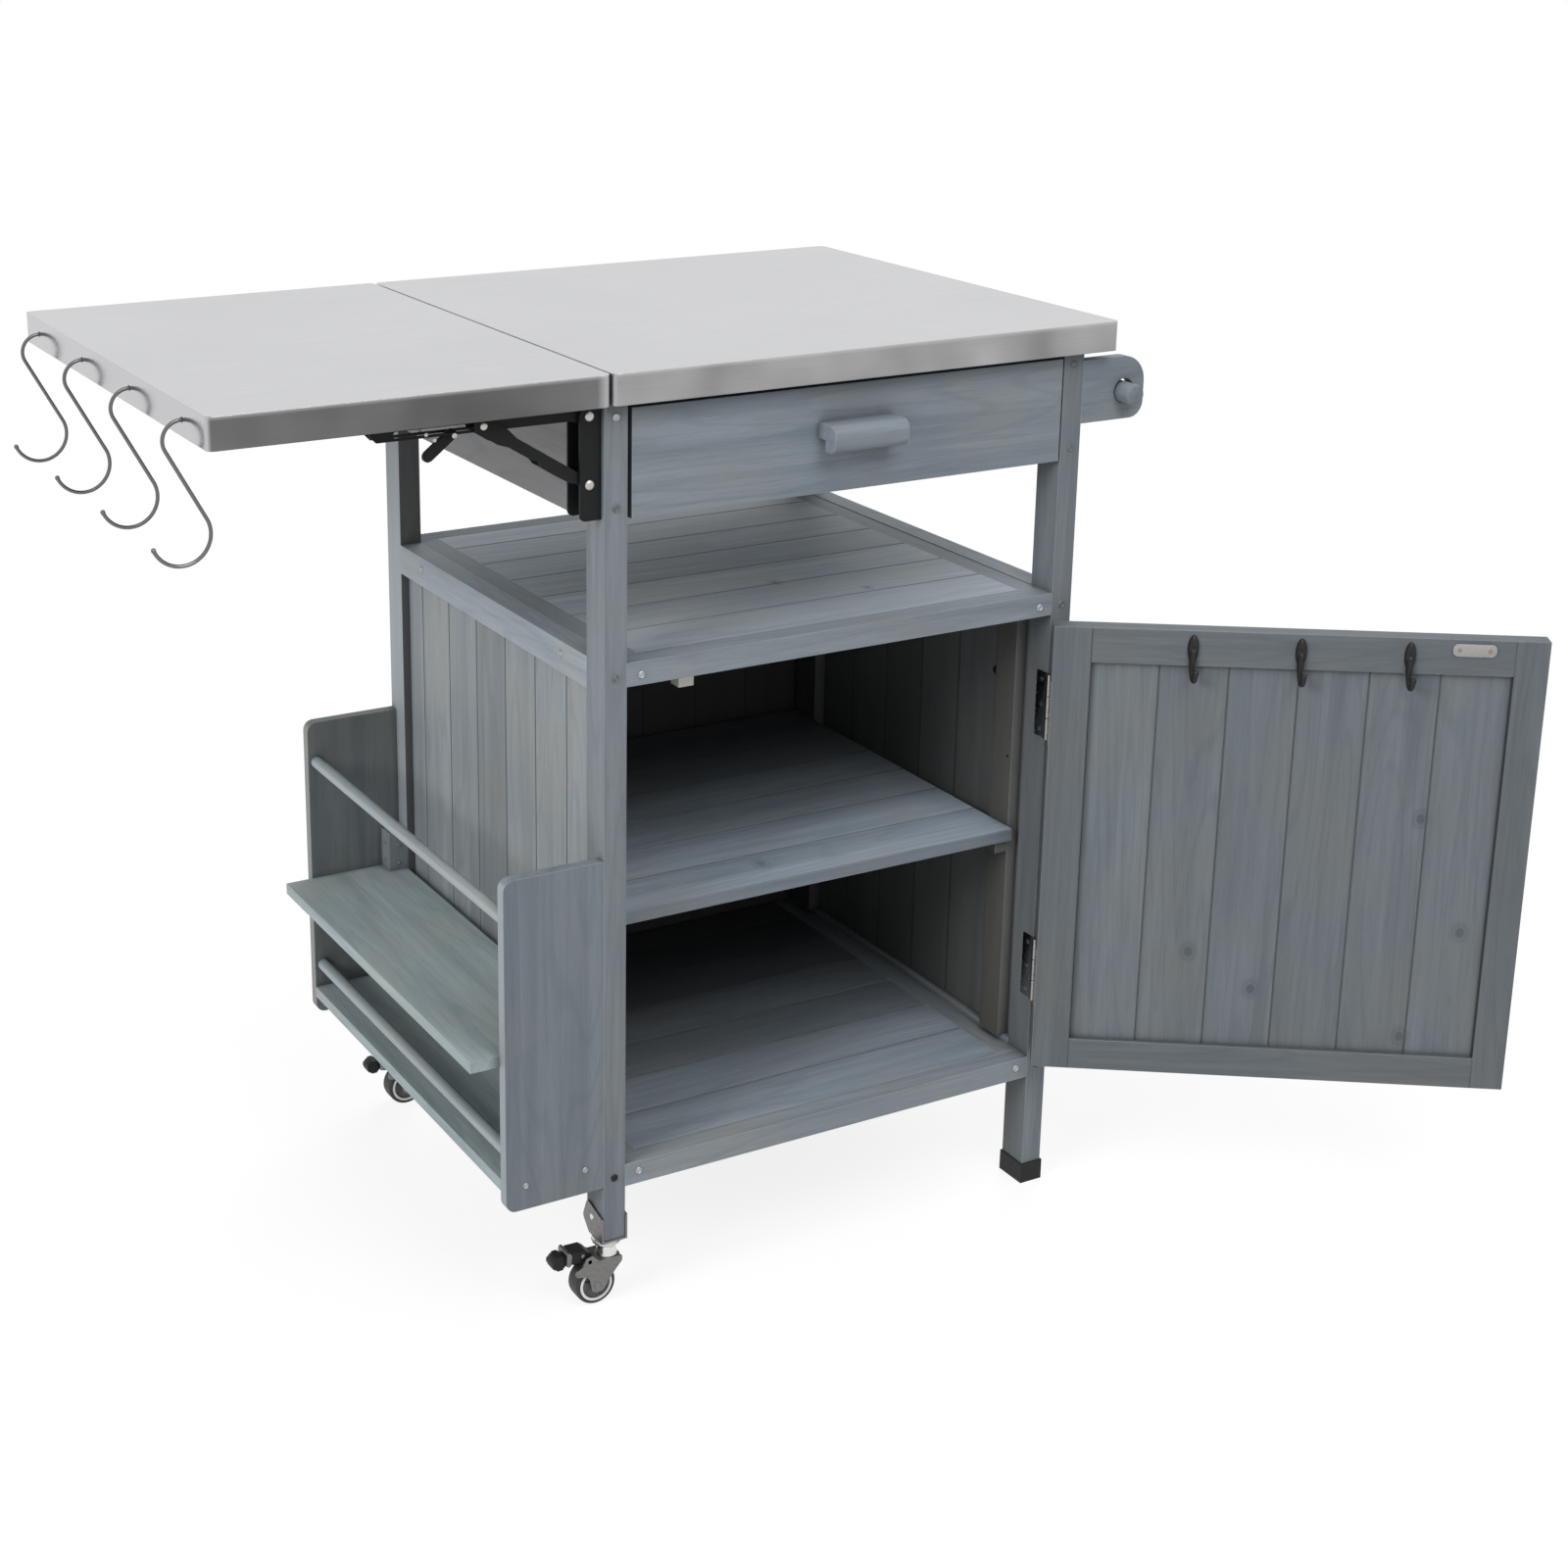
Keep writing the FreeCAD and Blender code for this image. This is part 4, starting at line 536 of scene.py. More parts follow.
def swept(shape, path, radii, sides=14):  # a bar along a path, domed at both ends
    path = [Vector(point) for point in path]
    last = len(path) - 1
    heads = [(path[min(i + 1, last)] - path[max(i - 1, 0)]).normalized() for i in range(last + 1)]
    domes = []
    for end, way in ((0, -1), (last, 1)):
        reach = heads[end] * radii[end] * way
        shoulder = (path[end] + reach * 0.7, radii[end] * 0.7, heads[end])
        domes.append([(path[end] + reach, 0.0, heads[end]), shoulder])
    stations = domes[0] + list(zip(path, radii, heads)) + domes[1][::-1]
    across = heads[0].orthogonal().normalized()
    rings = []
    for at, radius, ahead in stations:
        across = (across - ahead * across.dot(ahead)).normalized()
        other = ahead.cross(across)
        if radius == 0:
            rings.append([shape.verts.new(at)])
            continue
        ring = []
        for i in range(sides):
            angle = 2 * math.pi * i / sides
            spot = at + across * radius * math.cos(angle) + other * radius * math.sin(angle)
            ring.append(shape.verts.new(spot))
        rings.append(ring)
    closedShape(shape, rings, False)


def smoothPath(points, steps=6):  # a curve through the points
    points = [Vector(point) for point in points]
    path = []
    for i in range(len(points) - 1):
        before = points[max(i - 1, 0)]
        start, end = points[i], points[i + 1]
        after = points[min(i + 2, len(points) - 1)]
        for k in range(steps):
            t = k / steps
            path.append(0.5 * (2 * start + (end - before) * t
                               + (2 * before - 5 * start + 4 * end - after) * t * t
                               + (3 * start - before - 3 * end + after) * t ** 3))
    return path + [points[-1]]


def tilted(points, at, angle):  # an outline turned about its origin and moved
    cosine, sine = math.cos(angle), math.sin(angle)
    return [(at[0] + u * cosine - v * sine, at[1] + u * sine + v * cosine) for u, v in points]


def addObject(name, data):
    made = bpy.data.objects.new(name, data)
    bpy.context.scene.collection.objects.link(made)
    return made


doorTurn = Matrix.Rotation(math.radians(doorAngle), 3, "Z")


def addPiece(name, body, material, shape, inDoor=False, sharp=38, side=""):
    if side:
        name += "_" + side
    for vert in shape.verts:
        if side == "rear":
            vert.co.y = cartDepth - vert.co.y
        spot = place(*vert.co)
        vert.co = hingeAt + doorTurn @ (spot - hingeAt) if inDoor else spot
    bmesh.ops.recalc_face_normals(shape, faces=shape.faces)
    mesh = bpy.data.meshes.new(name)
    shape.to_mesh(mesh)
    shape.free()
    mesh.shade_smooth()
    mesh.set_sharp_from_angle(angle=math.radians(sharp))
    mesh.materials.append(material)
    piece = addObject(name, mesh)
    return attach(piece, body)


def screwHead(shape, at, along, radius=2.3, height=0.1):
    profile = ((0, -0.35), (0.32, -0.35), (0.42, 0.9), (0.8, 1.0), (1.0, 0.0), (1.0, -2.0))
    spun(shape, [(r * radius, h * height if h > 0 else h * 0.3) for r, h in profile], at, along, 20)


def domeHead(shape, at, along, radius, height):
    profile = ((1.0, 0.15), (0.93, 0.45), (0.72, 0.78), (0.38, 0.96), (0, 1))
    spun(shape, [(radius, -0.4)] + [(r * radius, h * height) for r, h in profile], at, along, 28)


def pin(shape, radius, low, high, at, along, sides=20):
    spun(shape, [(0, low), (radius, low), (radius, high), (0, high)], at, along, sides)


# S-shaped wire hooks in the leaf's end
hookWire = {
    "x": -345.4, "z": 840.5,  # centre of the upper bend
    "ys": (44.0, 176.17, 308.33, 440.5),
    "topRadius": 16.0, "lowRadius": 24.4,
    "drop": 76.5, "shift": -4.6,  # from the upper bend's centre to the lower one's
    "inner": 45.0, "tip": -159.0,  # degrees where the wire begins and ends
    "wire": 1.62, "knob": 2.15,
    "arc": 6,  # degrees of one step
}


def makeWireHook(number, y):
    top = Vector((hookWire["x"], y, hookWire["z"]))
    low = top + Vector((hookWire["shift"], 0, -hookWire["drop"]))
    span = math.hypot(hookWire["shift"], hookWire["drop"])
    reach = math.acos((hookWire["topRadius"] + hookWire["lowRadius"]) / span)
    lean = (math.degrees(math.atan2(-hookWire["drop"], hookWire["shift"]) - reach)) % 360
    path = []
    for centre, radius, first, last in ((top, hookWire["topRadius"], hookWire["inner"], lean),
                                        (low, hookWire["lowRadius"], lean - 180, hookWire["tip"])):
        steps = max(2, round(abs(last - first) / hookWire["arc"]))
        for i in range(steps + 1):
            angle = math.radians(first + (last - first) * i / steps)
            path.append(centre + Vector((math.cos(angle), 0, math.sin(angle))) * radius)
    radii = [hookWire["wire"]] * len(path)
    radii[-1] = hookWire["knob"]
    shape = bmesh.new()
    swept(shape, path, radii)
    piece = addPiece("wire_hook_" + str(number), "hook_" + str(number), hookFinish, shape, sharp=80)
    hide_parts("s_hook_" + str(number))


hookFinish = plainMetal("hook_wire", (0.17, 0.17, 0.172, 1), 0.30, speckle=0.3)
for i, y in enumerate(hookWire["ys"]):
    makeWireHook(i + 1, y)
print("wire hooks done")

blackCoat = plainMetal("black_coat", (0.007, 0.0075, 0.008, 1), 0.50, metallic=0.0,
                       grimeAndShade=(0.022, 0.023, 0.024, 1), gloss=0.16)
blackIron = plainMetal("black_iron", (0.008, 0.008, 0.008, 1), 0.36, metallic=0.0,
                       grimeAndShade=(0.022, 0.022, 0.022, 1), gloss=0.3)
brightZinc = plainMetal("bright_zinc", (0.74, 0.73, 0.71, 1), 0.26, speckle=0.15)
rivetZinc = plainMetal("rivet_zinc", (0.50, 0.49, 0.47, 1), 0.34, speckle=0.35)
dullZinc = plainMetal("dull_zinc", (0.21, 0.207, 0.20, 1), 0.40, speckle=0.45, grimeAndShade=(0.10, 0.095, 0.085, 1))
boltZinc = plainMetal("bolt_zinc", (0.44, 0.455, 0.47, 1), 0.45, speckle=0.35)
blackPlastic = plainMetal("black_plastic", (0.009, 0.0095, 0.010, 1), 0.48, metallic=0.0,
                          grimeAndShade=(0.028, 0.028, 0.027, 1), gloss=0.22)
palePlastic = plainMetal("pale_plastic", (0.50, 0.485, 0.44, 1), 0.55, metallic=0.0, speckle=0.15,
                         grimeAndShade=(0.30, 0.28, 0.25, 1), gloss=0.4)

# Cast hooks inside the door
doorHook = {
    "xs": (343.5, 246.0, 148.5), "top": 586.0, "face": 18.0,
    "head": ((5, 0), (5, 1.2), (4.4, 2.4), (3.1, 3.2), (1.6, 3.6), (0, 3.7)),
    "headWidth": 4.7, "headHeight": 12.5,
    # out from the door and down from the top; what lies beyond the neck is turned aside
    "line": ((1.9, -15), (2.2, -22), (2.2, -29), (2.6, -34.5), (4.6, -39.2), (7.6, -41.2), (10.4, -39.8),
             (11.8, -36.2), (12.0, -32.5)),
    "neck": 2.2, "turn": 12.0,
    "thick": 3.4, "thin": 2.4, "knob": 0.9,
    "screw": (1.9, 0.7), "screwOut": 3.4, "screwDown": 8.5,
}


def makeDoorHooks():
    face, top, neck = doorHook["face"], doorHook["top"], doorHook["neck"]
    swing = math.radians(doorHook["turn"])
    slimmer = doorHook["thick"] - doorHook["thin"]
    shape, screws = bmesh.new(), bmesh.new()
    for x in doorHook["xs"]:
        spun(shape, doorHook["head"], (x, face, top - doorHook["headHeight"]), (0, 1, 0), 28,
             squeeze=(1, doorHook["headHeight"] / doorHook["headWidth"]))
        spots = []
        for out, down in doorHook["line"]:
            beyond = max(0, out - neck)
            y = face + min(out, neck) + beyond * math.cos(swing)
            spots.append((x - beyond * math.sin(swing), y, top + down))
        path = smoothPath(spots, 5)
        radii = []
        for i in range(len(path)):
            t = i / (len(path) - 1)
            knob = doorHook["knob"] * max(0, t - 0.9) * 10
            radii.append(doorHook["thick"] - slimmer * min(1, t * 2.2) + knob)
        swept(shape, path, radii)
        at = (x, face + doorHook["screwOut"], top - doorHook["screwDown"])
        domeHead(screws, at, (0, 1, 0), *doorHook["screw"])
    piece = addPiece("cast_hooks", "door", blackIron, shape, inDoor=True, sharp=60)
    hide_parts("door_hooks")
    addPiece("cast_hook_screws", "door", blackPlastic, screws, inDoor=True)


makeDoorHooks()

# Plate for the catch, blank
strikePlate = {"x": (72.0, 111.0), "z": (575.0, 587.0), "y": (18.0, 19.1), "corner": 4.5, "ease": 0.35,
               "screwIn": 6.0, "screwRadius": 1.9}


def makeStrikePlate():
    low, high = strikePlate["x"]
    foot, top = strikePlate["z"]
    shape = bmesh.new()
    outline = rounded(rectangle(low, foot, high, top), [strikePlate["corner"]] * 4)
    slab(shape, outline, *strikePlate["y"], ease=strikePlate["ease"])
    finish = plainMetal("pale_plate", (0.25, 0.245, 0.235, 1), 0.5, metallic=0.2, speckle=0.3)
    piece = addPiece("strike_plate", "door", finish, shape, inDoor=True)
    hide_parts("door_strike_plate")
    screws = bmesh.new()
    for x in (low + strikePlate["screwIn"], high - strikePlate["screwIn"]):
        screwHead(screws, (x, strikePlate["y"][1], (foot + top) / 2), (0, 1, 0), strikePlate["screwRadius"])
    addPiece("strike_plate_screws", "door", dullZinc, screws, inDoor=True)


makeStrikePlate()
print("door metal done")

# Hinges: leaves in the joint between door and post, with turned knuckles
hingeSet = {
    "zs": (202.0, 472.0), "height": 65.0, "width": 16.0, "leaf": 0.6,
    "x": 471.25, "y": -3.3, "knuckle": 3.0, "chamfer": 0.3, "gap": 0.15,
    "screwsUp": (7.5, 32.5, 57.5), "screwIn": 8.0,
    # name, body, the leaf's left face, its knuckles, whether it is on the door, where its screws look, node
    "leaves": (("post", "cart", 471.4, (0, 2), False, -1, "post_hinge_leaves"),
               ("door", "door", 470.5, (1,), True, 1, "door_hinge_leaves")),
}


def makeHinges():
    step = hingeSet["height"] / 3
    wide, y, gap = hingeSet["width"], hingeSet["y"], hingeSet["gap"]
    radius, chamfer = hingeSet["knuckle"], hingeSet["chamfer"]
    long = step - 2 * gap
    knuckle = [(0, 0), (radius - chamfer, 0), (radius, chamfer), (radius, long - chamfer),
               (radius - chamfer, long), (0, long)]
    for part, body, low, indexes, inDoor, way, node in hingeSet["leaves"]:
        high = low + hingeSet["leaf"]
        shape, screws = bmesh.new(), bmesh.new()
        for z in hingeSet["zs"]:
            top = z + hingeSet["height"]
            slab(shape, rounded(rectangle(0, z, wide, top), [0, 2, 2, 0]), low, high, "YZ", 0.12)
            for index in indexes:
                foot = z + step * index + gap
                head = foot + long
                slab(shape, rectangle(y, foot, 0.5, head), low, high, "YZ", 0.1)
                spun(shape, knuckle, (hingeSet["x"], y, foot), (0, 0, 1), 24)
            for up in hingeSet["screwsUp"]:
                screwHead(screws, (low if way < 0 else high, hingeSet["screwIn"], z + up), (way, 0, 0))
        piece = addPiece(part + "_hinge", body, hingeFinish, shape, inDoor=inDoor)
        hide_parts(node)
        addPiece(part + "_hinge_screws", body, brightZinc, screws, inDoor=inDoor)


hingeFinish = plainMetal("hinge_steel", (0.34, 0.335, 0.33, 1), 0.22, speckle=0.25)
makeHinges()

# Bolt heads: a rim, a sunk ring and a flat middle
boltHead = {
    "profile": ((0, 0.80), (1.5, 0.80), (1.75, 0.45), (2.6, 0.40), (2.95, 0.95), (3.5, 1.18), (4.1, 0.98),
                (4.6, 0.40), (4.6, -0.3)),
    "post": (11.0, (830.5, 753.0, 603.4)),  # in from the side, and heights
    "bare": 800.0,  # above this the posts' bolts are bare metal
    "rail": (36.0, (603.4, 129.5)),
    "side": (82.0, 604.0),
    "rack": ((-78.0, -19.0), 144.5),
    "lowPost": 128.4,
    "scale": 0.76,
    "rackScale": 0.8,
}


def makeBolts():
    profile = [(radius * boltHead["scale"], out) for radius, out in boltHead["profile"]]
    silver, stained, dark = bmesh.new(), bmesh.new(), bmesh.new()
    postX, postZs = boltHead["post"]
    railX, railZs = boltHead["rail"]
    rackXs, rackZ = boltHead["rack"]
    sideY, sideZ = boltHead["side"]
    spots = [(silver if z > boltHead["bare"] else stained, postX, z) for z in postZs]
    spots += [(stained, cartWidth - postX, z) for z in postZs]
    spots += [(silver, x, z) for x in (railX, cartWidth - railX) for z in railZs]
    spots += [(silver, x, rackZ) for x in rackXs]
    # the low bolts are black: painted shade, as these bolts sit in shade
    spots += [(dark, x, boltHead["lowPost"]) for x in (postX, cartWidth - postX)]
    for shape, x, z in spots:
        size = boltHead["rackScale"] if z == rackZ else 1.0
        for y, out in ((0, -1), (cartDepth, 1)):
            spun(shape, [(radius * size, height) for radius, height in profile], (x, y, z), (0, out, 0))
    for x, out in ((0, -1), (cartWidth, 1)):
        for y in (sideY, cartDepth - sideY):
            spun(silver, profile, (x, y, sideZ), (out, 0, 0))
    piece = addPiece("bolt_heads", "cart", boltZinc, silver)
    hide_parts("frame_bolts")
    stainedZinc = plainMetal("stained_zinc", (0.13, 0.145, 0.16, 1), 0.5, metallic=0.4, speckle=0.5,
                             grimeAndShade=(0.05, 0.055, 0.06, 1))
    addPiece("stained_bolts", "cart", stainedZinc, stained)
    addPiece("low_bolts", "cart", blackIron, dark)


makeBolts()
print("bolts done")

# Folding brackets: rivets and the release levers
bracket = {
    "middle": 17.0,  # back from the front faces
    # the upright's rivets: x, half width, head's radius and height, pin's radius, and (height, the pin's start)
    "x": -11.0, "half": 12.0, "head": (4.5, 2.0), "pin": 2.5, "rivets": ((832.6, 0), (774.3, 7.3)),
    "strutEnd": (-105.5, 833.5), "strutHalf": 9.5, "strutHead": (3.5, 1.6),
    # the arm's rivets: half width, and (x, z, head's radius)
    "armHalf": 7.0, "armRivets": ((-155.0, 831.2, 1.7), (-147.7, 826.0, 1.7), (-130.3, 827.9, 2.3)),
    "armHead": 0.4,
    "leverPivot": (-130.3, 827.9), "leverTip": (-21.1, -16.5), "leverHalf": 4.5, "leverSheet": 4.0,
    "leverCorners": (4.3, 4.2, 4.2, 4.3),
}


def makeBracketRivets():
    middle, half, x = bracket["middle"], bracket["half"], bracket["x"]
    for side in ("front", "rear"):
        shape, ends, flat, lever = bmesh.new(), bmesh.new(), bmesh.new(), bmesh.new()
        for z, inner in bracket["rivets"]:
            for out in (-1, 1):
                domeHead(shape, (x, middle + out * half, z), (0, out, 0), *bracket["head"])
                pin(shape, bracket["pin"], 0, half - inner, (x, middle + out * inner, z), (0, out, 0))
        piece = addPiece("bracket_rivets", "cart", rivetZinc, shape, side=side)
        if side == "front":
            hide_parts("bracket_rivets")
        endX, endZ = bracket["strutEnd"]
        for out in (-1, 1):
            at = (endX, middle + out * bracket["strutHalf"], endZ)
            domeHead(ends, at, (0, out, 0), *bracket["strutHead"])
        addPiece("strut_rivets", "struts", rivetZinc, ends, side=side)
        for armX, armZ, radius in bracket["armRivets"]:
            for out in (-1, 1):
                at = (armX, middle + out * bracket["armHalf"], armZ)
                domeHead(flat, at, (0, out, 0), radius, bracket["armHead"])
        addPiece("arm_rivets", "leaf", rivetZinc, flat, side=side)
        length = math.hypot(*bracket["leverTip"])
        tilt = math.atan2(bracket["leverTip"][1], bracket["leverTip"][0])
        r = bracket["leverHalf"]
        outline = rounded(rectangle(-r, -r, length + r, r), bracket["leverCorners"], 7)
        outline = tilted(outline, bracket["leverPivot"], tilt)
        slab(lever, outline, middle - bracket["leverSheet"] / 2, middle + bracket["leverSheet"] / 2, ease=0.8)
        piece = addPiece("release_lever", "lever_" + side, blackCoat, lever, side=side)
        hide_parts("bracket_lever_" + side)


makeBracketRivets()
print("bracket details done")

# Struts: two links with a short web between them
strut = {
    "pivot": (-11.0, 774.3), "end": (-105.5, 833.5),
    "half": 4.6, "endHalf": 7.7, "wide": 19.0, "taper": 13.0,  # the end is wider than the rest
    "tail": 5.6, "beyond": 8.0, "cornerRadii": (4.37, 8, 8, 6.5, 6.5, 8, 8, 3, 3, 3, 3, 4.37),
    "outside": 9.5, "sheet": 1.5,
    "web": (16.0, 46.0), "webOut": 6.5, "webSheet": 1.4, "webInset": 0.3,
    "pin": (2.5, 2.4), "pinAt": 7.1,
}


def makeStruts():
    pivot, (endX, endZ) = strut["pivot"], strut["end"]
    length = math.dist(pivot, strut["end"])
    tilt = math.atan2(endZ - pivot[1], endX - pivot[0])
    half, endHalf = strut["half"], strut["endHalf"]
    wide = length - strut["wide"]
    narrow = wide - strut["taper"]
    start, end = strut["web"]
    back = strut["webOut"]
    tail, tip = -strut["tail"], length + strut["beyond"]
    corners = [(tail, -half), (narrow, -half), (wide, -endHalf), (tip, -endHalf), (tip, endHalf),
               (wide, endHalf), (narrow, half), (end + 5, half), (end + 0.5, back), (start - 0.5, back),
               (start - 5, half), (tail, half)]
    outline = tilted(rounded(corners, strut["cornerRadii"]), pivot, tilt)
    web = rectangle(start, back - strut["webSheet"], end, back)
    middle, out, sheet = bracket["middle"], strut["outside"], strut["sheet"]
    inset = out - strut["webInset"]
    for side in ("front", "rear"):
        shape = bmesh.new()
        for low, high in ((middle - out, middle - out + sheet), (middle + out - sheet, middle + out)):
            slab(shape, outline, low, high, ease=0.35)
        slab(shape, tilted(web, pivot, tilt), middle - inset, middle + inset)
        radius, long = strut["pin"]
        for way in (-1, 1):
            pin(shape, radius, 0, long, (endX, middle + way * strut["pinAt"], endZ), (0, way, 0))
        piece = addPiece("folding_strut", "struts", blackCoat, shape, side=side)
        if side == "front":
            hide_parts("bracket_struts")


makeStruts()

# Towel rod, a dowel with chamfered ends
towelRod = {"radius": 9.9, "over": 17.5, "chamfer": 1.6}


def makeTowelRod():
    shape = bmesh.new()
    radius, over, chamfer = towelRod["radius"], towelRod["over"], towelRod["chamfer"]
    length = cartDepth + 2 * over
    tip = [(0, 0), (radius - chamfer, 0), (radius - 0.5, 0.7), (radius, chamfer * 1.3)]
    profile = tip + [(r, length - h) for r, h in tip[::-1]]
    low, high = ((point - cornerAt) * 1000 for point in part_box("towel_rod"))
    spun(shape, profile, ((low.x + high.x) / 2, -over, low.z + radius), (0, 1, 0), 40)
    finish = stainedWood("wood_turned_rod", "Y", tone=0.85, seed=61.0)
    piece = addPiece("turned_rod", "towel_rod", finish, shape)
    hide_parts("towel_rod")


makeTowelRod()
print("struts and rod done")

# Casters: wheel, pressed fork with its bearing, socket screws and brake pedal
caster = {
    "middle": 16.0, "wheel": (-4.0, 20.0), "stem": 11.0,
    # from the wheel's bore to its rim: radius and half width
    "wheelSide": ((3.1, 9.3), (4.5, 9.3), (4.9, 8.8), (5.3, 7.4), (12.6, 7.4), (13.4, 9.2), (13.9, 9.75),
                  (15.9, 9.75), (16.3, 9.35), (16.6, 9.2), (17.0, 9.75), (17.9, 9.95), (18.9, 9.3),
                  (19.7, 8.0), (20.0, 6.0)),
    "ribs": 6, "ribTurn": 0.3, "rib": rectangle(4.4, -0.8, 13.0, 0.8), "ribOut": (6.8, 8.4),
    "cheek": ((-9.5, 14), (1.5, 14), (8, 25), (15.5, 34), (21, 40), (21, 45.5), (-3, 45.5), (-9, 52.5),
              (-16, 51), (-19, 43.5), (-25.5, 40.5), (-26.5, 34.5), (-13, 32)),
    "cheekRadii": (5.2, 5.2, 14, 12, 3, 1, 3, 3, 4, 3, 2.5, 2.5, 6), "cheekAt": ((3.0, 5.0), (27.0, 29.0)),
    "crown": rectangle(-3, 3.4, 21, 28.6), "crownRadii": (3, 6, 6, 3), "crownAt": (43.2, 45.4),
    "nut": ((0, 1.0), (2.2, 1.0), (2.9, 0.6), (3.6, 0.5), (3.8, 0), (3.8, -1)), "nutOut": 13,
    # radius, half length, place and sides of the axle and of the pedal's pivot
    "pins": ((2.9, 11, (-4.0, 20.0), 20), (2.0, 13, (-12, 47), 16)),
    # bearing, neck and core: profile, height, sides
    "turned": ((((0, 0), (8.0, 0), (12.6, 0.6), (13.8, 2.0), (13.8, 3.4), (12.9, 3.9), (12.9, 4.5),
                 (13.6, 5.2), (13.2, 7.2), (9.5, 7.7), (0, 7.7)), 56.0, 40),
               (((0, 0), (10.5, 0), (9.0, 3.0), (8.4, 11), (0, 11)), 45.2, 32),
               (((0, 0), (3.9, 0), (3.9, 3.5), (0, 3.5)), 62.0, 20)),
    "socketScrew": (19.0, 82.8), "socketFaces": ((-2, -1), (24, 1)), "socketHead": (3.1, 1.1),
    # the pedal's root and knob, then its strap: outline, corner radii and steps, levels, eased edge
    "shoe": ((((-15, 44), (-8, 44), (-8, 52), (-14, 57), (-30, 57.5), (-31, 47), (-19, 46)),
              (3, 3.5, 3.5, 4, 2, 2, 3), 6, (7.3, 24.7), 0.9),
             (((-47.5, 42.5), (-33, 43.0), (-33, 56.5), (-46.5, 56.5)),
              (5.5, 4.0, 4.5, 6.0), 8, (9.0, 23.0), 2.4)),
    "strap": ((((-34.0, 45.5), (-29.5, 45), (-28.5, 56), (-30, 58.8), (-33.4, 59.0)),
               (1.5, 1.5, 1.5, 2, 1.5), 6, (6.7, 25.3), 0.5),),
    "strapFaces": ((7.3, -1), (24.7, 1)), "strapRivet": (-17, 52.0), "strapHead": (2.1, 0.9),
}


def makeCaster(side):
    middle = caster["middle"]
    wheelX, wheelZ = caster["wheel"]
    axle = Vector((wheelX, middle, wheelZ))
    shape, fork, stem, screws, foot, strap = (bmesh.new() for i in range(6))
    profile = [(radius, -out) for radius, out in caster["wheelSide"]] + list(caster["wheelSide"][::-1])
    spun(shape, profile, axle, (0, 1, 0), 64, closed=True)
    for i in range(caster["ribs"]):
        spin = Matrix.Rotation(2 * math.pi * i / caster["ribs"] + caster["ribTurn"], 3, "Y")
        for out in (-1, 1):
            before = len(shape.verts)
            slab(shape, caster["rib"], *sorted(out * level for level in caster["ribOut"]), ease=0.25)
            shape.verts.ensure_lookup_table()
            for vert in shape.verts[before:]:
                vert.co = spin @ vert.co + axle
    wheelY = cartDepth - middle if side == "rear" else middle
    finish = wheelFinish("wheel_" + side, place(wheelX, wheelY, wheelZ))
    piece = addPiece("turned_wheel", "wheel_" + side, finish, shape, side=side)
    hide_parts("caster_wheel_" + side)

    cheek = rounded(caster["cheek"], caster["cheekRadii"], 5)
    for low, high in caster["cheekAt"]:
        slab(fork, cheek, low, high, ease=0.4)
    slab(fork, rounded(caster["crown"], caster["crownRadii"]), *caster["crownAt"], "XY", 0.5)
    for out in (-1, 1):
        at = (wheelX, middle + out * caster["nutOut"], wheelZ)
        spun(fork, caster["nut"], at, (0, out, 0), 6 if out > 0 else 24)
    for radius, half, (x, z), sides in caster["pins"]:
        pin(fork, radius, -half, half, (x, middle, z), (0, 1, 0), sides)
    piece = addPiece("pressed_fork", "caster_" + side, dullZinc, fork, side=side)
    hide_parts("caster_fork_" + side)
    for profile, z, sides in caster["turned"]:
        spun(stem, profile, (caster["stem"], middle, z), (0, 0, 1), sides)
    addPiece("bearing", "caster_" + side, brightZinc, stem, side=side)

    y, z = caster["socketScrew"]
    for x, out in caster["socketFaces"]:
        domeHead(screws, (x, y, z), (out, 0, 0), *caster["socketHead"])
    addPiece("socket_screws", "cart", brightZinc, screws, side=side)

    for part, sheets in ((foot, caster["shoe"]), (strap, caster["strap"])):
        for outline, radii, steps, levels, ease in sheets:
            slab(part, rounded(outline, radii, steps), *levels, ease=ease)
    piece = addPiece("pedal_shoe", "pedal_" + side, blackPlastic, foot, side=side)
    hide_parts("brake_pedal_" + side)
    x, z = caster["strapRivet"]
    for y, out in caster["strapFaces"]:
        domeHead(strap, (x, y, z), (0, out, 0), *caster["strapHead"])
    addPiece("pedal_strap", "pedal_" + side, dullZinc, strap, side=side)


for side in ("front", "rear"):
    makeCaster(side)
print("casters done")

# Small dark fixings inside the cabinet
insideFixings = {"pins": ((478.0, 88.0, 513.0, 4.6), (466.0, 48.1, 439.3, 1.7))}
shape = bmesh.new()
for x, y, z, radius in insideFixings["pins"]:
    domeHead(shape, (x, y, z), (-1, 0, 0), radius, 1.0)
addPiece("inside_fixings", "cart", blackIron, shape)

# Screws in the rack's corner blocks
blockScrews = {"ups": (10.0, 29.0), "radius": 1.7, "side": (-20.0, 22.0), "face": (-10.0, 32.0), "lower": 2}


def makeBlockScrews():
    shape = bmesh.new()
    foot = (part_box("rack_blocks")[0] - cornerAt).z * 1000
    for up in blockScrews["ups"]:
        for side in (1, -1):
            for key, along, lower in (("side", (-1, 0, 0), 0), ("face", (0, side, 0), blockScrews["lower"])):
                x, y = blockScrews[key]
                at = (x, y if side > 0 else cartDepth - y, foot + up - lower)
                screwHead(shape, at, along, blockScrews["radius"])
    addPiece("block_screws", "cart", boltZinc, shape)


makeBlockScrews()

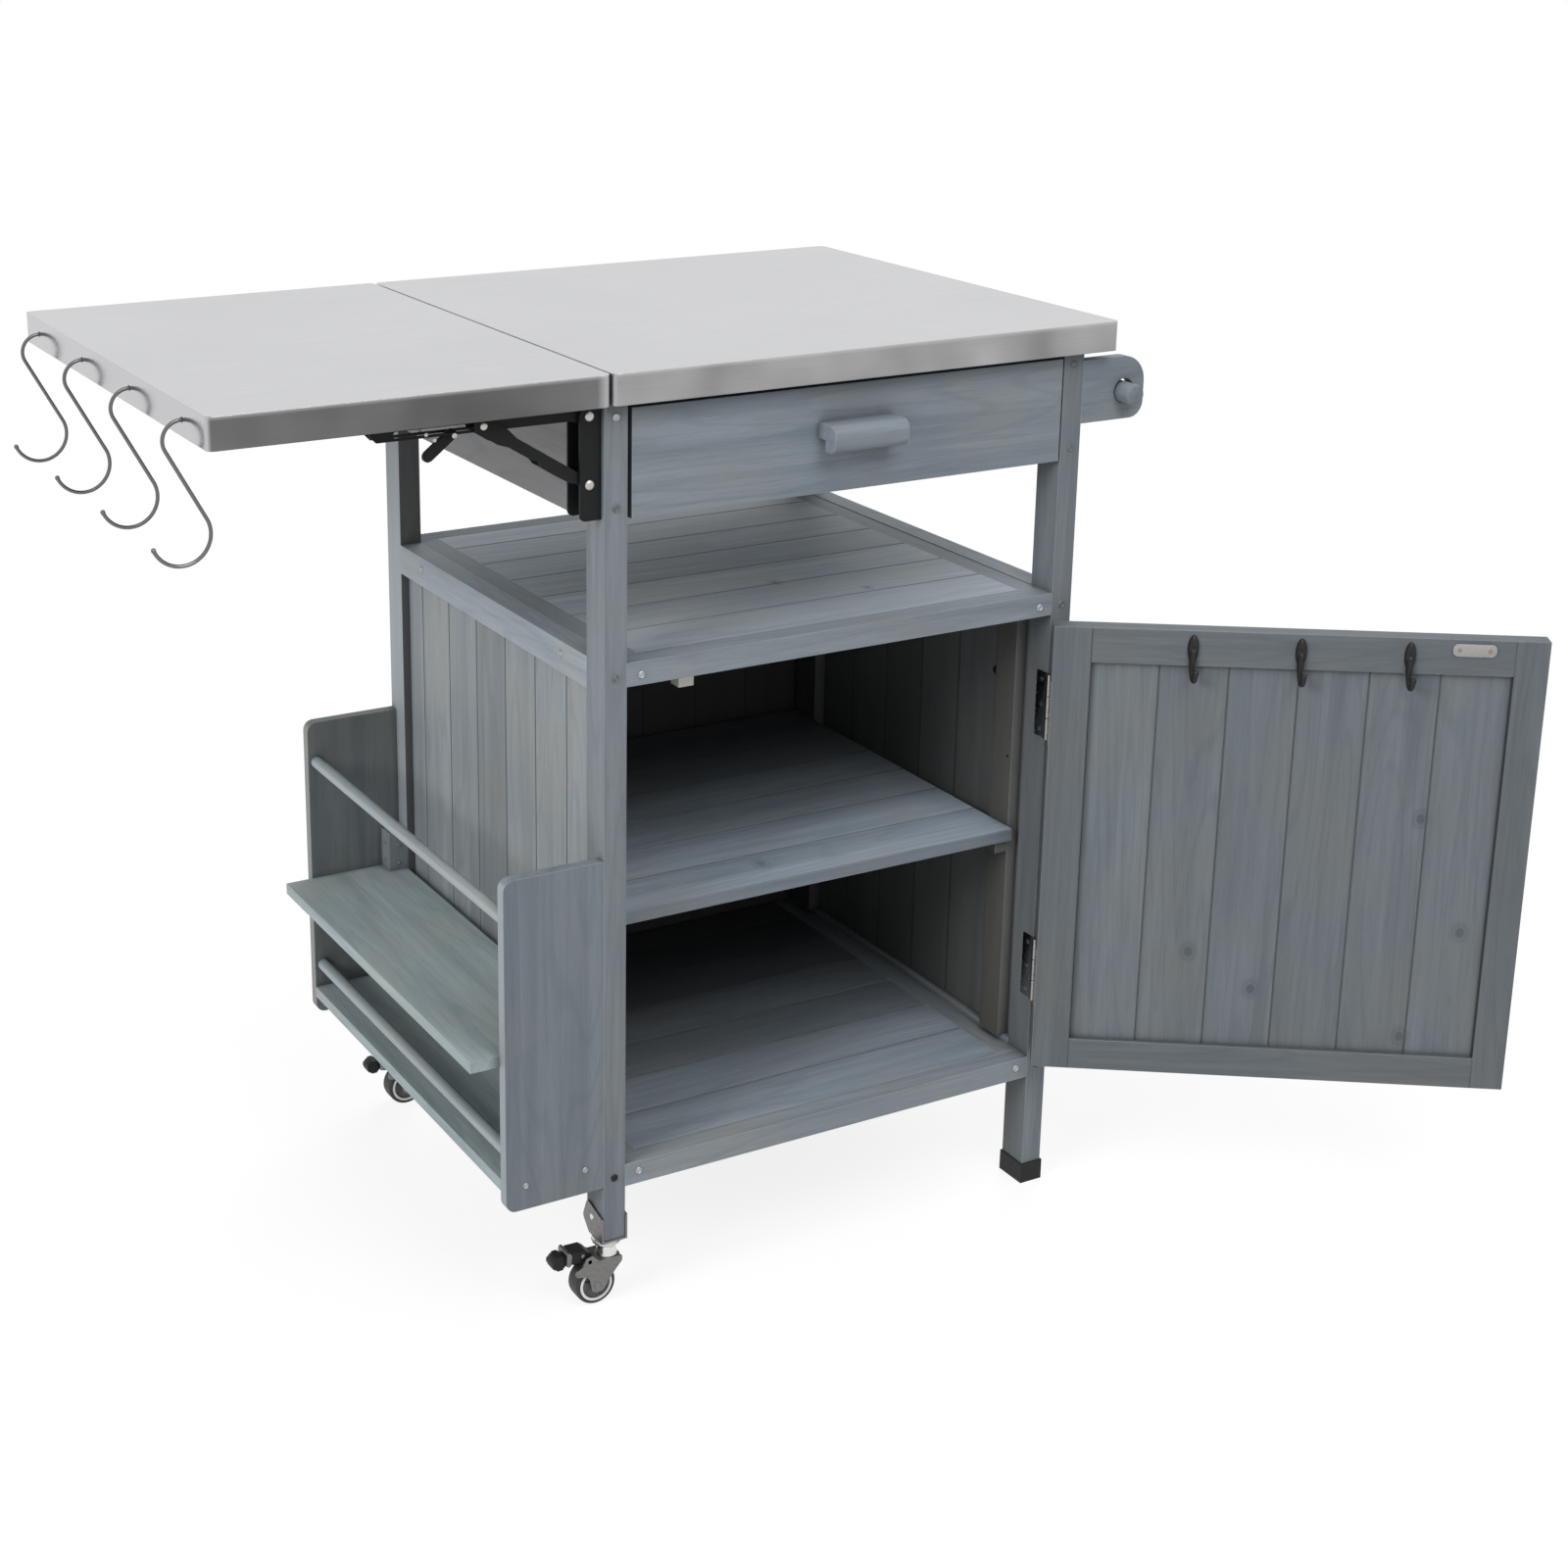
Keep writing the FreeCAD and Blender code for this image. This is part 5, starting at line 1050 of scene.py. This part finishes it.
# The solids that the pieces above replace get their finish too
paint(blackCoat, "bracket_uprights", "bracket_struts", "bracket_arms", "bracket_lever_front",
      "bracket_lever_rear")
paint(blackIron, "door_hooks")
paint(hingeFinish, "door_hinge_leaves", "post_hinge_leaves")
paint(dullZinc, "caster_sockets", "caster_fork_front", "caster_fork_rear")
paint(brightZinc, "bracket_rivets", "door_strike_plate")
paint(boltZinc, "frame_bolts")
paint(hookFinish, "s_hook_1", "s_hook_2", "s_hook_3", "s_hook_4")
paint(palePlastic, "magnetic_catch")
paint(blackPlastic, "foot_caps", "brake_pedal_front", "brake_pedal_rear", "caster_wheel_front",
      "caster_wheel_rear")
print("pieces done")

# Camera, fitted to the photograph
camera = {
    "at": (-939.76, -1779.44, 1281.77),
    "yaw": 28.3007,
    "pitch": 16.5071,
    "roll": 0.1828,
    "lens": 57.528,
    "shift": (0.1024, -0.125),
}


def makeCamera():
    yaw, pitch, roll = (math.radians(camera[key]) for key in ("yaw", "pitch", "roll"))
    forward = Vector((math.sin(yaw) * math.cos(pitch), math.cos(yaw) * math.cos(pitch), -math.sin(pitch)))
    right = Vector((math.cos(yaw), -math.sin(yaw), 0))
    above = right.cross(forward)
    turnedRight = right * math.cos(roll) + above * math.sin(roll)
    turnedUp = above * math.cos(roll) - right * math.sin(roll)
    data = bpy.data.cameras.new("camera")
    data.lens = camera["lens"]
    data.shift_x, data.shift_y = camera["shift"]
    made = addObject("camera", data)
    columns = Matrix((turnedRight, turnedUp, -forward)).transposed()
    made.matrix_world = Matrix.Translation(place(*camera["at"])) @ columns.to_4x4()
    bpy.context.scene.camera = made


# Studio: a pale floor, a white surround and soft lamps
studio = {
    "floorSize": 90.0,
    "floorColour": (0.86, 0.86, 0.86, 1),
    "glow": (0.7, 2.6, 0.84, 1.0),  # metres from the cart, and the floor's light there
    "surround": 0.22,
    "aim": (150, 230, 450),
    "lamps": (
        # name, place in millimetres, width in metres, watts, whether metal mirrors it
        ("key", (-3100, -700, 2100), 2.0, 128, False),
        ("top", (200, 0, 3300), 2.4, 45, False),
        ("front", (200, -1900, 2700), 1.8, 50, True),
        ("back", (2300, 2300, 1900), 2.4, 70, False),
    ),
}


def directRays():  # those from the camera or by way of a mirror
    rays = addNode("LightPath")
    return mathNode("MAXIMUM", rays.outputs["Is Camera Ray"], rays.outputs["Is Glossy Ray"])


def makeStudio():
    size = studio["floorSize"] / 2
    mesh = bpy.data.meshes.new("floor")
    corners = [(x, y, 0) for x, y in rectangle(-size, -size, size, size)]
    mesh.from_pydata(corners, [], [(0, 1, 2, 3)])
    floor = addObject("floor", mesh)
    material, shader = startMaterial("floor", Base_Color=studio["floorColour"], Roughness=0.9)
    glow = addNode("Emission")
    away = vectorNode("LENGTH", objectPoint())
    glowing = ramp(away, *studio["glow"])  # the shadow stays near the cart
    seen = times(directRays(), glowing)
    mixed = addNode("MixShader", {0: seen, 1: shader.outputs[0], 2: glow.outputs[0]})
    tree = material.node_tree
    tree.links.new(mixed.outputs[0], tree.nodes["Material Output"].inputs[0])
    mesh.materials.append(material)
    world = bpy.data.worlds.new("surround")
    world.use_nodes = True
    bpy.context.scene.world = world
    current["tree"] = tree = world.node_tree
    background = tree.nodes["Background"]
    background.inputs[0].default_value = (1, 1, 1, 1)
    strength = ramp(directRays(), 0.0, 1.0, studio["surround"], 1.0)
    tree.links.new(strength, background.inputs[1])
    aim = place(*studio["aim"])
    for name, at, width, watts, mirrored in studio["lamps"]:
        data = bpy.data.lights.new(name, "AREA")
        data.shape = "DISK"
        data.size = width
        data.energy = watts
        lamp = addObject(name, data)
        lamp.visible_glossy = mirrored
        lamp.location = place(*at)
        lamp.rotation_euler = (aim - lamp.location).to_track_quat("-Z", "Y").to_euler()


makeCamera()
makeStudio()
bpy.context.scene.view_settings.view_transform = "Standard"
print("camera and studio done")
